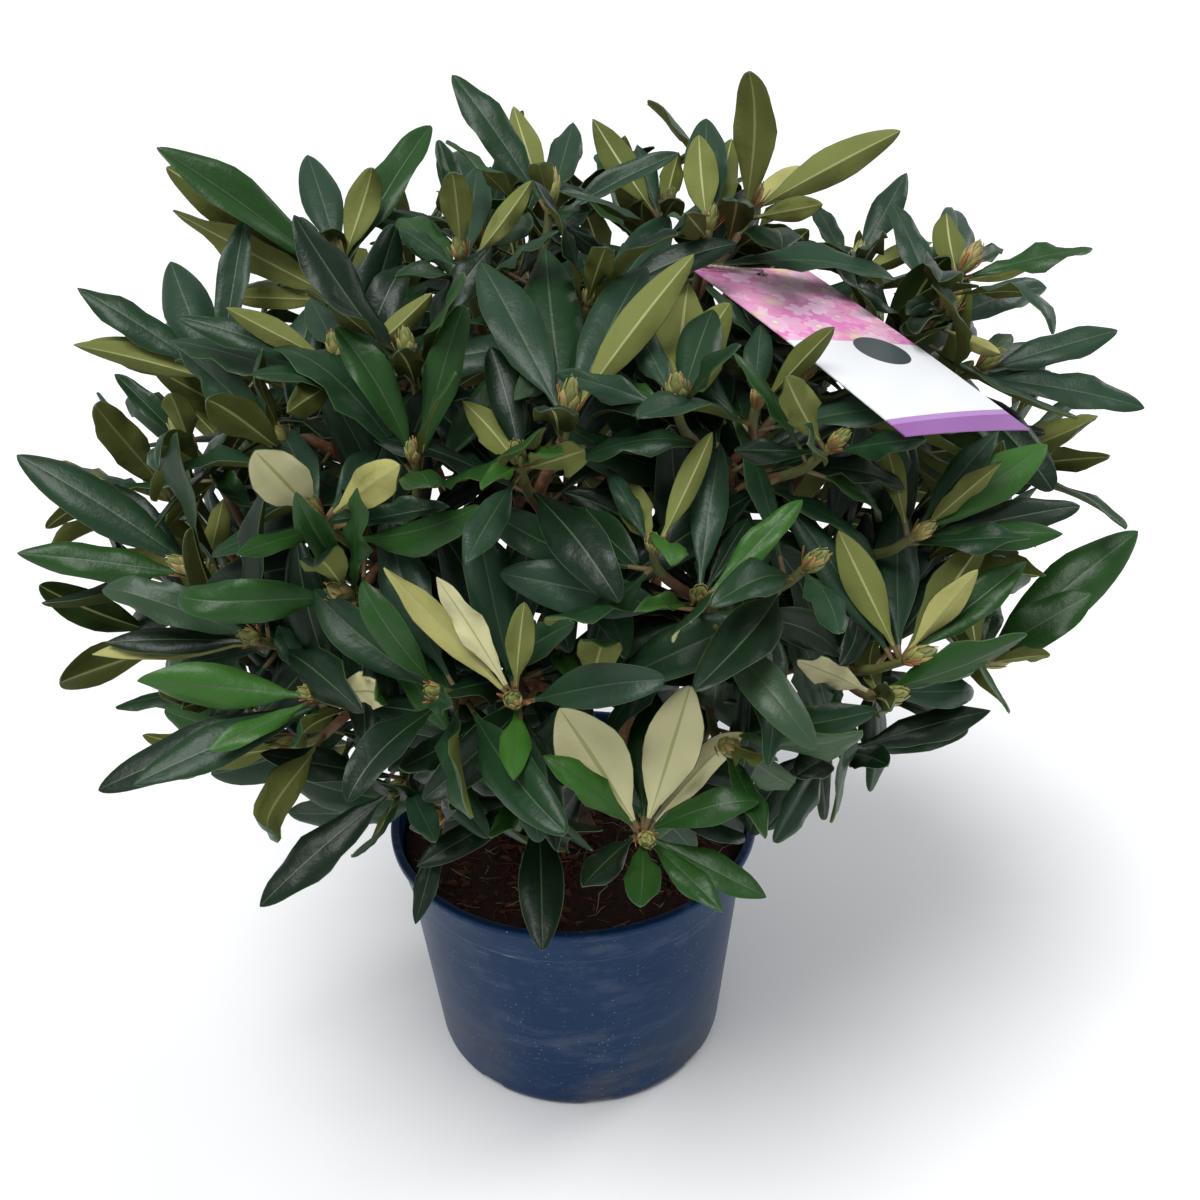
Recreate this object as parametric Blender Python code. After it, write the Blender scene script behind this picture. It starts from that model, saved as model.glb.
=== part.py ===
"""Potted rhododendron: a young garden shrub in a five litre nursery pot.

The pot stands on its flat underside, centred on the origin, +Z up, and the label side of the crown
faces +X and -Y.  All sizes are in metres.  The pot holds a plug of peat, the trunk stands on it, and
every bough carries one mass of leafy shoots that keeps to its own cone of the crown.
"""

import math
import random

import bmesh
import bpy
from mathutils import Matrix, Vector
from mathutils.bvhtree import BVHTree

# Pot
POT_HEIGHT = 0.162
RIM_RADIUS = 0.115
FOOT_RADIUS = 0.0923
WALL = 0.0018
LIP_WIDTH = 0.0035
LIP_DEPTH = 0.0045
BAND_DEPTH = 0.027
BAND_STEP = 0.0016
BAND_BEVEL = 0.0012
LIP_BEVEL = 0.0008
FOOT_ROUND = 0.007
DRAINS = 8
DRAIN_WIDTH = 0.018
DRAIN_HEIGHT = 0.006
DRAIN_DEPTH = 0.022
DRAIN_TURN = 0.12
POT_SIDES = 40

# Peat
PEAT_BELOW_RIM = 0.012

# Gaps
JOINT_GAP = 0.0003
CLEARANCE = 0.0008
TINY_EDGE = 0.000002

# Trunk
TRUNK_HEIGHT = 0.062
TRUNK_RADIUS = 0.0100
TRUNK_TOP_RADIUS = 0.0082
FLARE = 0.0050
FLARE_HEIGHT = 0.014
TRUNK_LEAN = (-0.006, 0.004)
TRUNK_SIDES = 14
TRUNK_RINGS = (0.0, 0.07, 0.14, 0.24, 0.40, 0.60, 0.80, 0.94, 1.0)
TRUNK_CROWN = 0.62
ROOTS = 4
ROOT_TURN = 0.8
ROOT_DEPTH = 0.35
OVAL = 0.05
OVAL_TURN = 1.0

# Boughs
BOUGH_RADIUS = 0.0055
BOUGH_TIP_RADIUS = 0.0032
BOUGH_THINNING = 0.82
BOUGH_LEAST_TAPER = 0.8
BOUGH_SIDES = 5
BOUGH_STEPS = 5
BOUGH_OUT = 0.8
BOUGH_UP = 0.25
BOUGH_FOLLOW = 0.35
TIP_OUT = 0.8
TIP_UP = 0.35
BEND_PULL = 0.36

# Crown
HEART = Vector((0.0, 0.0, 0.27))
STEM_LENGTH = 0.105
TWIG_RADIUS = 0.0034
TWIG_TIP_RADIUS = 0.0024
SIDE_TWIG = 0.85
STEM_STEPS = 3
SHOOT_STEPS = 2
SHOOT_SPREAD = 17.0
SHOOT_CLOSER = (1.0, 0.85, 0.7, 0.55)
SHOOT_TURN = 12.0
SHOOT_REACH = (0.80, 0.97)
SHOOT_FOLLOW = 0.6
SHOOT_ROOM = 1.4
LOWEST_SHOOT = 0.10
SHOOT_STEP = 0.14
BUD_UP = 0.5
LEAF_LENGTH = 0.098
LEAF_WIDTH = 0.35
LEAF_BELLY = 0.58
LEAF_KEEL = 0.028
KEEL_UP = 0.3
KEEL_DOWN = 0.7
STALK_RADIUS = 0.0010
STALK_SHARE = 0.17
WHORL_LEAVES = 5
LOWER_LEAVES = 1
TOP_LEAF = 0.975
LEAF_STEP = 0.028
LOWER_LEAF = (0.45, 0.72)
WHORL_TURN = 50.0
LOWER_TURN = 77.0
TURN_PLAY = 0.12
WHORL_ANGLE = (42.0, 84.0)
LOWER_ANGLE = (70.0, 100.0)
LENGTH_PLAY = (0.88, 1.12)
DROOP = (0.02, 0.14)
BELLY_DROOP = 0.3
LEAF_SHORTER = (1.0, 0.88, 0.76)
LEAF_CLOSER = (0.0, -0.3, 0.25, -0.6)
LEAF_SHIFTS = (0.0, 0.3, -0.3, 0.6, -0.6, 0.9, -0.9)
STEEPEST_FALL = -0.80
UNDERSIDE = 0.120
UNDERSIDE_RADIUS = 0.125
UNDERSIDE_SLOPE = 0.55
LEAF_TURN = math.radians(144.0)
SEED = 41

# One row for each mass of foliage: its name, what its bough springs from and how far along, then the
# way from the heart of the crown to its leading shoot: bearing in degrees round from the front (-Y)
# towards +X, rise in degrees over level, and reach in metres; last, how many shoots stand round it.
MASSES = (
    ("front", "trunk", 0.52, -12, 31, 0.228, 4),
    ("front_low", "front", 0.55, 11, 3, 0.188, 3),
    ("front_high", "front", 0.30, -4, 57, 0.262, 4),
    ("right_front", "trunk", 0.30, 46, 21, 0.236, 4),
    ("front_right", "right_front", 0.40, 26, 36, 0.246, 4),
    ("right_front_high", "right_front", 0.26, 36, 57, 0.262, 4),
    ("right", "trunk", 0.66, 66, 34, 0.262, 4),
    ("right_low", "right", 0.36, 78, 8, 0.258, 4),
    ("right_high", "right", 0.46, 92, 43, 0.300, 4),
    ("back_right", "trunk", 0.40, 118, 20, 0.250, 4),
    ("back_right_high", "back_right", 0.36, 138, 50, 0.270, 4),
    ("back", "trunk", 0.62, 178, 24, 0.250, 4),
    ("back_high", "back", 0.34, -172, 58, 0.262, 4),
    ("back_left", "trunk", 0.36, -122, 20, 0.250, 4),
    ("back_left_high", "back_left", 0.36, -130, 50, 0.266, 4),
    ("left", "trunk", 0.62, -84, 24, 0.252, 4),
    ("left_high", "left", 0.40, -82, 52, 0.268, 4),
    ("front_left_low", "trunk", 0.20, -44, 16, 0.226, 4),
    ("front_left_high", "front_left_low", 0.38, -42, 44, 0.246, 4),
    ("top", "trunk", 0.97, -60, 80, 0.267, 4),
    ("top_right", "top", 0.34, 106, 69, 0.288, 3),
)

# Label
LABEL_WIDTH = 0.078
LABEL_LENGTH = 0.180
LABEL_THICKNESS = 0.0009
LABEL_CORNER = Vector((0.0724, -0.0050, 0.5167))
LABEL_ACROSS = Vector((0.858, 0.471, -0.205))
LABEL_DOWN = Vector((0.462, -0.877, -0.148))
LABEL_HOLE_RADIUS = 0.003
LABEL_HOLE_INSET = 0.009
LABEL_HOLE_SIDES = 12
LABEL_SHOOT = "top_right"
TIE_RADIUS = 0.0008
TIE_TURN = 0.0062
TIE_LIFT = 0.0024
TIE_STEPS = 8
TIE_SLANT = 0.8

# Colours and gloss
PLASTIC = ((0.030, 0.052, 0.112), 0.42)
PEAT = ((0.030, 0.012, 0.008), 0.95)
BARK = ((0.16, 0.085, 0.045), 0.85)
FOLIAGE = ((0.040, 0.085, 0.040), 0.45)
CARD = ((0.80, 0.78, 0.82), 0.35)
CORD = ((0.72, 0.68, 0.55), 0.6)
POT_CREASE = 35.0
BARK_CREASE = 60.0


def clear_scene():
    for thing in list(bpy.data.objects):
        bpy.data.objects.remove(thing, do_unlink=True)


def material(name, colour, roughness):
    made = bpy.data.materials.new(name)
    made.use_nodes = True
    shader = made.node_tree.nodes["Principled BSDF"]
    shader.inputs["Base Color"].default_value = (*colour, 1.0)
    shader.inputs["Roughness"].default_value = roughness
    made.diffuse_color = (*colour, 1.0)
    return made


def solid(name, verts, faces, finish, crease=POT_CREASE):
    """A new object of these points and faces, with every face pointing out."""
    mesh = bpy.data.meshes.new(name)
    mesh.from_pydata([tuple(v) for v in verts], [], faces)
    work = bmesh.new()
    work.from_mesh(mesh)
    bmesh.ops.recalc_face_normals(work, faces=work.faces)
    work.to_mesh(mesh)
    work.free()
    mesh.materials.append(finish)
    mesh.shade_smooth()
    mesh.set_sharp_from_angle(angle=math.radians(crease))
    thing = bpy.data.objects.new(name, mesh)
    bpy.context.scene.collection.objects.link(thing)
    return thing


def turned(profile, sides):
    """The points and faces of a closed outline of (radius, height) turned round the Z axis."""
    verts = []
    rings = []
    for radius, height in profile:
        if radius == 0.0:
            verts.append(Vector((0.0, 0.0, height)))
            rings.append([len(verts) - 1] * sides)
            continue
        first = len(verts)
        for k in range(sides):
            turn = 2.0 * math.pi * (k + 0.5) / sides
            verts.append(Vector((radius * math.cos(turn), radius * math.sin(turn), height)))
        rings.append(list(range(first, first + sides)))
    faces = []
    for lower, upper in zip(rings, rings[1:]):
        for k in range(sides):
            n = (k + 1) % sides
            corners = [lower[k], lower[n], upper[n], upper[k]]
            corners = [c for i, c in enumerate(corners) if c not in corners[:i]]
            if len(corners) > 2:
                faces.append(corners)
    return verts, faces


def tangents(points):
    """The direction of a line of points at each of them."""
    last = len(points) - 1
    return [(points[min(i + 1, last)] - points[max(i - 1, 0)]).normalized() for i in range(last + 1)]


def tube(points, radii, sides, first=None, last=None):
    """The points and faces of a round limb along a line, with flat ends square to it or to a way."""
    verts = []
    faces = []
    across = None
    ways = tangents(points)
    ways[0] = first or ways[0]
    ways[-1] = last or ways[-1]
    for point, radius, along in zip(points, radii, ways):
        if across is None:
            across = along.orthogonal()
        across = (across - along * across.dot(along)).normalized()
        other = along.cross(across)
        for k in range(sides):
            turn = 2.0 * math.pi * k / sides
            verts.append(point + (across * math.cos(turn) + other * math.sin(turn)) * radius)
    for i in range(len(points) - 1):
        for k in range(sides):
            n = (k + 1) % sides
            a = i * sides
            b = a + sides
            faces.append([a + k, a + n, b + n, b + k])
    faces.append(list(range(sides))[::-1])
    faces.append(list(range(len(verts) - sides, len(verts))))
    return verts, faces


def ring(points, crosswise, radius):
    """The points and faces of a four-sided cord round a closed line that never runs crosswise."""
    verts = []
    faces = []
    count = len(points)
    for i, point in enumerate(points):
        along = (points[(i + 1) % count] - points[i - 1]).normalized()
        side = along.cross(crosswise).normalized()
        over = side.cross(along)
        verts += [point + way * radius for way in (side, over, -side, -over)]
    for i in range(count):
        a = i * 4
        b = (i + 1) % count * 4
        for k in range(4):
            n = (k + 1) % 4
            faces.append([a + k, a + n, b + n, b + k])
    return verts, faces


def curve(start, way_out, end, way_in, steps):
    """A smooth bend from start to end that leaves along way_out and arrives along way_in."""
    pull = (end - start).length * BEND_PULL
    a = start + way_out.normalized() * pull
    b = end - way_in.normalized() * pull
    points = []
    for i in range(steps + 1):
        t = i / steps
        s = 1.0 - t
        points.append(start * s ** 3 + a * 3 * s * s * t + b * 3 * s * t * t + end * t ** 3)
    return points


def along_line(points, share):
    """The point and the direction at a share of the way along a line of points."""
    place = share * (len(points) - 1)
    i = min(int(place), len(points) - 2)
    step = points[i + 1] - points[i]
    return points[i] + step * (place - i), step.normalized()


def taper(first, last, count):
    return [first + (last - first) * i / (count - 1) for i in range(count)]


def towards(bearing, rise):
    """The direction of a bearing round from the front and a rise over level, both in degrees."""
    b = math.radians(bearing)
    r = math.radians(rise)
    return Vector((math.cos(r) * math.sin(b), -math.cos(r) * math.cos(b), math.sin(r)))


def use_boolean(thing, cutter=None, group=None):
    """Cuts the cutter out of the object, or joins the object with the whole group."""
    change = thing.modifiers.new("cut", "BOOLEAN")
    change.solver = "EXACT"
    if group is None:
        change.operation = "DIFFERENCE"
        change.object = cutter
    else:
        change.operation = "UNION"
        change.operand_type = "COLLECTION"
        change.collection = group
    view = bpy.context.evaluated_depsgraph_get()
    view.update()
    made = bpy.data.meshes.new_from_object(thing.evaluated_get(view))
    thing.modifiers.clear()
    old = thing.data
    thing.data = made
    bpy.data.meshes.remove(old)


def keep_body(thing):
    """Drops every loose scrap and sealed hollow, so that one closed body is left."""
    work = bmesh.new()
    work.from_mesh(thing.data)
    bmesh.ops.dissolve_degenerate(work, edges=work.edges, dist=TINY_EDGE)
    left = set(work.faces)
    groups = []
    while left:
        group = [left.pop()]
        for face in group:
            for edge in face.edges:
                for other in edge.link_faces:
                    if other in left:
                        left.discard(other)
                        group.append(other)
        groups.append(group)
    body = max(groups, key=len)
    for group in groups:
        if group is not body:
            bmesh.ops.delete(work, geom=group, context="FACES")
    bmesh.ops.recalc_face_normals(work, faces=work.faces)
    work.to_mesh(thing.data)
    work.free()


# Pot and peat


def pot_outline():
    """The pot's section, from the middle of its underside up the outside and down the inside."""
    band_top = RIM_RADIUS - LIP_WIDTH
    band_low = POT_HEIGHT - BAND_DEPTH
    slope = (band_top - BAND_STEP - FOOT_RADIUS) / (POT_HEIGHT - FOOT_ROUND)
    body_top = FOOT_RADIUS + slope * (band_low - FOOT_ROUND)
    outside = [(0.0, 0.0)]
    for i in range(3):
        turn = math.radians(45.0 * i)
        inset = FOOT_ROUND * (1.0 - math.sin(turn))
        outside.append((FOOT_RADIUS - inset, FOOT_ROUND * (1.0 - math.cos(turn))))
    outside += [
        (body_top, band_low),
        (body_top + BAND_STEP, band_low + BAND_BEVEL),
        (band_top, POT_HEIGHT - LIP_DEPTH),
        (RIM_RADIUS, POT_HEIGHT - LIP_DEPTH + LIP_BEVEL),
        (RIM_RADIUS, POT_HEIGHT),
        (band_top - WALL, POT_HEIGHT),
    ]
    inside = [
        (body_top + BAND_STEP - WALL, band_low + BAND_BEVEL),
        (body_top - WALL, band_low),
        (FOOT_RADIUS - WALL, FOOT_ROUND),
        (FOOT_RADIUS - FOOT_ROUND * 0.5 - WALL, WALL),
        (0.0, WALL),
    ]
    return outside, inside


def make_pot(finish):
    outside, inside = pot_outline()
    verts, faces = turned(outside + inside, POT_SIDES)
    pot = solid("pot", verts, faces, finish)
    for k in range(DRAINS):
        turn = 2.0 * math.pi * (k + DRAIN_TURN) / DRAINS
        out = Vector((math.sin(turn), -math.cos(turn), 0.0))
        work = bmesh.new()
        bmesh.ops.create_cube(work, size=1.0)
        spin = Matrix.Rotation(turn, 4, "Z")
        size = Matrix.Diagonal((DRAIN_WIDTH, DRAIN_DEPTH, 2.0 * DRAIN_HEIGHT, 1.0))
        work.transform(Matrix.Translation(out * FOOT_RADIUS) @ spin @ size)
        mesh = bpy.data.meshes.new("drain")
        work.to_mesh(mesh)
        work.free()
        cutter = bpy.data.objects.new("drain", mesh)
        bpy.context.scene.collection.objects.link(cutter)
        use_boolean(pot, cutter=cutter)
        bpy.data.objects.remove(cutter, do_unlink=True)
    pot.data.shade_smooth()
    pot.data.set_sharp_from_angle(angle=math.radians(POT_CREASE))
    return pot


def make_peat(finish):
    outside, inside = pot_outline()
    top = POT_HEIGHT - PEAT_BELOW_RIM
    rim_inside = outside[-1]
    band = inside[0]
    share = (top - band[1]) / (rim_inside[1] - band[1])
    edge = band[0] + (rim_inside[0] - band[0]) * share
    outline = [(0.0, top), (edge - JOINT_GAP, top)]
    for radius, height in inside[:-1]:
        outline.append((radius - 1.5 * JOINT_GAP, height + 0.5 * JOINT_GAP))
    outline[-1] = (outline[-1][0], WALL + JOINT_GAP)
    outline.append((0.0, WALL + JOINT_GAP))
    verts, faces = turned(outline, POT_SIDES)
    return solid("peat", verts, faces, finish)


# Trunk and boughs


def trunk_line():
    """The middle line of the trunk, from its flat foot on the peat to its top."""
    base = Vector((0.0, 0.0, POT_HEIGHT - PEAT_BELOW_RIM + JOINT_GAP))
    lean = Vector((TRUNK_LEAN[0], TRUNK_LEAN[1], TRUNK_HEIGHT))
    return [base + lean * t for t in TRUNK_RINGS]


def trunk_shape(extra):
    """The trunk's points and faces, or the same a little fatter, to cut its boughs clear of it."""
    line = trunk_line()
    verts = []
    faces = []
    for i, point in enumerate(line):
        height = point.z - line[0].z
        share = height / TRUNK_HEIGHT
        radius = TRUNK_RADIUS + (TRUNK_TOP_RADIUS - TRUNK_RADIUS) * share
        if i == len(line) - 1:
            radius *= TRUNK_CROWN
        spread = FLARE * max(0.0, 1.0 - height / FLARE_HEIGHT) ** 2
        for k in range(TRUNK_SIDES):
            turn = 2.0 * math.pi * k / TRUNK_SIDES
            lobes = 1.0 - ROOT_DEPTH + ROOT_DEPTH * math.cos(ROOTS * turn + ROOT_TURN)
            oval = 1.0 + OVAL * math.sin(2.0 * turn + OVAL_TURN)
            r = radius * oval + spread * lobes + extra
            verts.append(point + Vector((r * math.cos(turn), r * math.sin(turn), 0.0)))
    if extra:
        for k in range(TRUNK_SIDES):
            verts[-1 - k].z += extra
    for i in range(len(line) - 1):
        for k in range(TRUNK_SIDES):
            n = (k + 1) % TRUNK_SIDES
            a = i * TRUNK_SIDES
            b = a + TRUNK_SIDES
            faces.append([a + k, a + n, b + n, b + k])
    faces.append(list(range(TRUNK_SIDES))[::-1])
    faces.append(list(range(len(verts) - TRUNK_SIDES, len(verts))))
    return verts, faces


def tip_way(aim):
    """The way a bough points at its tip, and the stem of its foliage at its root."""
    return (aim * TIP_OUT + Vector((0.0, 0.0, TIP_UP))).normalized()


def bough_line(row, lines):
    """The middle line and the radii of the bough that carries a mass."""
    parent, share, bearing, rise, reach = row[1:6]
    aim = towards(bearing, rise)
    tip = HEART + aim * (reach - STEM_LENGTH)
    if parent == "trunk":
        start, way = along_line(trunk_line(), share)
        out = Vector((aim.x, aim.y, 0.0)).normalized() * BOUGH_OUT
        out.z = BOUGH_UP + aim.z
        thick = BOUGH_RADIUS
    else:
        points, radii = lines[parent]
        start, way = along_line(points, share)
        out = way * BOUGH_FOLLOW + (tip - start).normalized()
        thick = (radii[0] + (radii[-1] - radii[0]) * share) * BOUGH_THINNING
    points = curve(start, out, tip, tip_way(aim), BOUGH_STEPS)
    return points, taper(thick, min(BOUGH_TIP_RADIUS, thick * BOUGH_LEAST_TAPER), BOUGH_STEPS + 1)


def make_boughs(lines, finish):
    """Each bough is cut 0.3 mm clear of the limb that it springs from."""
    boughs = []
    for row in MASSES:
        name, parent = row[:2]
        points, radii = lines[name]
        verts, faces = tube(points, radii, BOUGH_SIDES, last=tip_way(towards(row[3], row[4])))
        bough = solid("bough_" + name, verts, faces, finish, BARK_CREASE)
        if parent == "trunk":
            verts, faces = trunk_shape(JOINT_GAP)
        else:
            points, radii = lines[parent]
            fatter = [radius + JOINT_GAP / math.cos(math.pi / BOUGH_SIDES) for radius in radii]
            verts, faces = tube(points, fatter, BOUGH_SIDES, last=tip_way(points[-1] - HEART))
        cutter = solid("cutter", verts, faces, finish)
        use_boolean(bough, cutter=cutter)
        bpy.data.objects.remove(cutter, do_unlink=True)
        keep_body(bough)
        boughs.append(bough)
    return boughs


# Foliage


def above_underside(point):
    """The crown's underside rises outwards from above the rim of the pot."""
    out = math.hypot(point.x, point.y) - UNDERSIDE_RADIUS
    return point.z > UNDERSIDE + UNDERSIDE_SLOPE * max(0.0, out)


class Space:
    """The room a mass may fill: its own cone out of the heart of the crown, clear of all else."""

    def __init__(self, name, taken):
        self.aims = {row[0]: towards(row[3], row[4]) for row in MASSES}
        self.aim = self.aims.pop(name)
        self.taken = taken
        self.leaves = []

    def holds(self, point):
        away = point - HEART
        own = away.dot(self.aim)
        for other in self.aims.values():
            if own - away.dot(other) < CLEARANCE * (self.aim - other).length:
                return False
        return True

    def free(self, whole, blade):
        """Whether a leaf lies in the cone clear of limbs, pot, peat and label, its blade of others too."""
        verts = whole[0]
        if not all(above_underside(v) and self.holds(v) for v in verts):
            return False
        if self.taken.overlap(BVHTree.FromPolygons(*whole)):
            return False
        shape = BVHTree.FromPolygons(*blade)
        if any(leaf.overlap(shape) for leaf in self.leaves):
            return False
        middle = sum(verts, Vector()) / len(verts)
        return all(self.taken.find_nearest(v)[3] > CLEARANCE for v in verts + [middle])


def leaf(root, way, face, length, droop):
    """A leaf as a slim stalk sunk in its twig and a thin keeled blade, and the blade on its own."""
    side = way.cross(face).normalized()
    up = side.cross(way).normalized()
    stalk = [
        (-STALK_RADIUS, 0.5 * STALK_RADIUS),
        (STALK_RADIUS, 0.5 * STALK_RADIUS),
        (0.0, -STALK_RADIUS),
    ]
    half = length * LEAF_WIDTH * 0.5
    keel = length * LEAF_KEEL
    heel = root + way * length * STALK_SHARE
    belly = root + way * length * LEAF_BELLY - up * droop * BELLY_DROOP
    verts = []
    blade = [(-half, KEEL_UP * keel), (half, KEEL_UP * keel), (0.0, -KEEL_DOWN * keel)]
    for middle, section in ((root, stalk), (heel, stalk), (belly, blade)):
        verts += [middle + side * x + up * z for x, z in section]
    verts.append(root + way * length - up * droop)
    stalk_faces = [[2, 1, 0], [0, 1, 4, 3], [1, 2, 5, 4], [2, 0, 3, 5]]
    wide_faces = [[3, 4, 7], [3, 7, 6], [4, 5, 8], [4, 8, 7], [5, 3, 6], [5, 6, 8]]
    tip_faces = [[6, 7, 9], [7, 8, 9], [8, 6, 9]]
    blade_faces = [[corner - 3 for corner in f] for f in wide_faces + tip_faces]
    return (verts, stalk_faces + wide_faces + tip_faces), (verts[3:], blade_faces)


def stem_line(row):
    """The stem of a mass, from the tip of its bough to its leading bud."""
    aim = towards(row[3], row[4])
    root = HEART + aim * (row[5] - STEM_LENGTH)
    lean = tip_way(aim)
    bud = HEART + aim * row[5]
    return curve(root + lean * JOINT_GAP, lean, bud, aim + Vector((0.0, 0.0, BUD_UP)), STEM_STEPS)


def shoot_lines(row, space, dice):
    """The stem of a mass and the shoots round it, each a line of points that ends in a bud."""
    reach = row[5]
    count = row[6]
    stem = stem_line(row)
    across = space.aim.cross(Vector((0.0, 0.0, 1.0))).normalized()
    over = across.cross(space.aim).normalized()
    first = dice.uniform(0.0, 360.0)
    shoots = [stem]
    for k in range(count):
        turn = math.radians(first + 360.0 * k / count + dice.uniform(-SHOOT_TURN, SHOOT_TURN))
        lean_out = across * math.cos(turn) + over * math.sin(turn)
        length = reach * dice.uniform(*SHOOT_REACH)
        start, way = along_line(stem, LOWEST_SHOOT + SHOOT_STEP * k)
        for closer in SHOOT_CLOSER:
            spread = math.radians(SHOOT_SPREAD * closer)
            bud = HEART + (space.aim * math.cos(spread) + lean_out * math.sin(spread)) * length
            end_way = (bud - HEART).normalized() + Vector((0.0, 0.0, BUD_UP))
            start_way = way * SHOOT_FOLLOW + (bud - start).normalized()
            line = curve(start, start_way, bud, end_way, SHOOT_STEPS)
            fat = tube(line, [TWIG_RADIUS * SHOOT_ROOM] * len(line), 3)
            clear = not space.taken.overlap(BVHTree.FromPolygons(*fat))
            if clear and all(space.holds(p + lean_out * 2.0 * TWIG_RADIUS) for p in line):
                shoots.append(line)
                break
    return shoots


def leaf_tries(slot, first, dice, low):
    """The ways one leaf may lie, best first: turn round the shoot, angle off it, length and droop."""
    turn = first + slot * LEAF_TURN + dice.uniform(-TURN_PLAY, TURN_PLAY)
    angle = math.radians(dice.uniform(*(LOWER_ANGLE if low else WHORL_ANGLE)))
    length = LEAF_LENGTH * dice.uniform(*LENGTH_PLAY)
    droop = dice.uniform(*DROOP)
    for shorter in LEAF_SHORTER:
        for close in LEAF_CLOSER:
            for shift in LEAF_SHIFTS:
                yield turn + shift, angle + close, length * shorter, droop


def add_leaf(line, share, slot, first, low, space, dice, pieces):
    """Puts one leaf on a shoot, in the first of its ways that is free."""
    root, axis = along_line(line, share)
    across = axis.orthogonal().normalized()
    other = axis.cross(across)
    for turn, angle, length, droop in leaf_tries(slot, first, dice, low):
        out = across * math.cos(turn) + other * math.sin(turn)
        way = axis * math.cos(angle) + out * math.sin(angle)
        if way.z < STEEPEST_FALL:
            continue
        face = axis * math.sin(angle) - out * math.cos(angle)
        whole, blade = leaf(root, way, face, length, droop * length)
        if space.free(whole, blade):
            pieces.append(whole)
            space.leaves.append(BVHTree.FromPolygons(*blade))
            return


def make_mass(row, index, taken, finish):
    """One mass: a stem, its shoots and their leaves, joined into one body."""
    dice = random.Random(SEED + index)
    space = Space(row[0], taken)
    shoots = shoot_lines(row, space, dice)
    pieces = []
    for n, line in enumerate(shoots):
        thick = TWIG_RADIUS if n == 0 else TWIG_RADIUS * SIDE_TWIG
        root_way = tip_way(space.aim) if n == 0 else None
        pieces.append(tube(line, taper(thick, TWIG_TIP_RADIUS, len(line)), 3, first=root_way))
    for slot in range(WHORL_LEAVES + LOWER_LEAVES):
        low = slot >= WHORL_LEAVES
        for line in shoots:
            share = dice.uniform(*LOWER_LEAF) if low else TOP_LEAF - LEAF_STEP * slot
            first = math.radians(len(pieces) * LOWER_TURN if low else index * WHORL_TURN)
            add_leaf(line, share, slot, first, low, space, dice, pieces)
    body = solid("foliage_" + row[0], *pieces[0], finish)
    group = bpy.data.collections.new("pieces")
    bpy.context.scene.collection.children.link(group)
    for verts, faces in pieces[1:]:
        piece = solid("piece", verts, faces, finish)
        bpy.context.scene.collection.objects.unlink(piece)
        group.objects.link(piece)
    use_boolean(body, group=group)
    for piece in list(group.objects):
        bpy.data.objects.remove(piece, do_unlink=True)
    bpy.data.collections.remove(group)
    keep_body(body)
    body.data.shade_flat()


# Label


def label_frame():
    """The label's way across, way down and upper side, and the middle of its hole."""
    across = LABEL_ACROSS.normalized()
    down = (LABEL_DOWN - across * LABEL_DOWN.dot(across)).normalized()
    up = across.cross(down) * -1.0
    top_edge = LABEL_CORNER + across * LABEL_WIDTH * 0.5
    hole = top_edge + down * LABEL_HOLE_INSET - up * LABEL_THICKNESS * 0.5
    return across, down, up, hole


def make_label(finish):
    across, down, up, hole = label_frame()
    through = up * 0.5 * LABEL_WIDTH
    outline = []
    for x, y in ((0.0, 0.0), (1.0, 0.0), (1.0, 1.0), (0.0, 1.0)):
        outline.append(LABEL_CORNER + across * LABEL_WIDTH * x + down * LABEL_LENGTH * y)
    verts = [v - up * LABEL_THICKNESS for v in outline] + outline
    faces = [[0, 1, 2, 3], [7, 6, 5, 4], [0, 4, 5, 1], [1, 5, 6, 2], [2, 6, 7, 3], [3, 7, 4, 0]]
    label = solid("label", verts, faces, finish)
    verts, faces = tube([hole - through, hole + through], [LABEL_HOLE_RADIUS] * 2, LABEL_HOLE_SIDES)
    cutter = solid("cutter", verts, faces, finish)
    use_boolean(label, cutter=cutter)
    bpy.data.objects.remove(cutter, do_unlink=True)
    return label


def make_tie(finish):
    """A cord loop through the hole in the label and round the shoot that the label hangs on."""
    up, hole = label_frame()[2:]
    stem = stem_line(next(row for row in MASSES if row[0] == LABEL_SHOOT))
    low = max(i for i, p in enumerate(stem) if (p - hole).dot(up) < 0.0)
    share = (hole - stem[low]).dot(up) / (stem[low + 1] - stem[low]).dot(up)
    shoot = stem[low].lerp(stem[low + 1], share)
    back = (shoot - hole).normalized()
    side = up.cross(back)
    lift = up * TIE_LIFT
    points = [hole - lift, hole + lift]
    for i in range(TIE_STEPS + 1):
        turn = math.pi * i / TIE_STEPS
        round_shoot = (side * math.cos(turn) + back * math.sin(turn)) * TIE_TURN
        points.append(shoot + round_shoot + lift * math.cos(turn))
    verts, faces = ring(points, side - up * TIE_SLANT, TIE_RADIUS)
    return solid("label_tie", verts, faces, finish, BARK_CREASE)


def mesh_of(things):
    """The points and faces of several objects, counted through."""
    verts = []
    faces = []
    for thing in things:
        first = len(verts)
        verts += [v.co.copy() for v in thing.data.vertices]
        faces += [[first + i for i in p.vertices] for p in thing.data.polygons]
    return verts, faces


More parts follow.
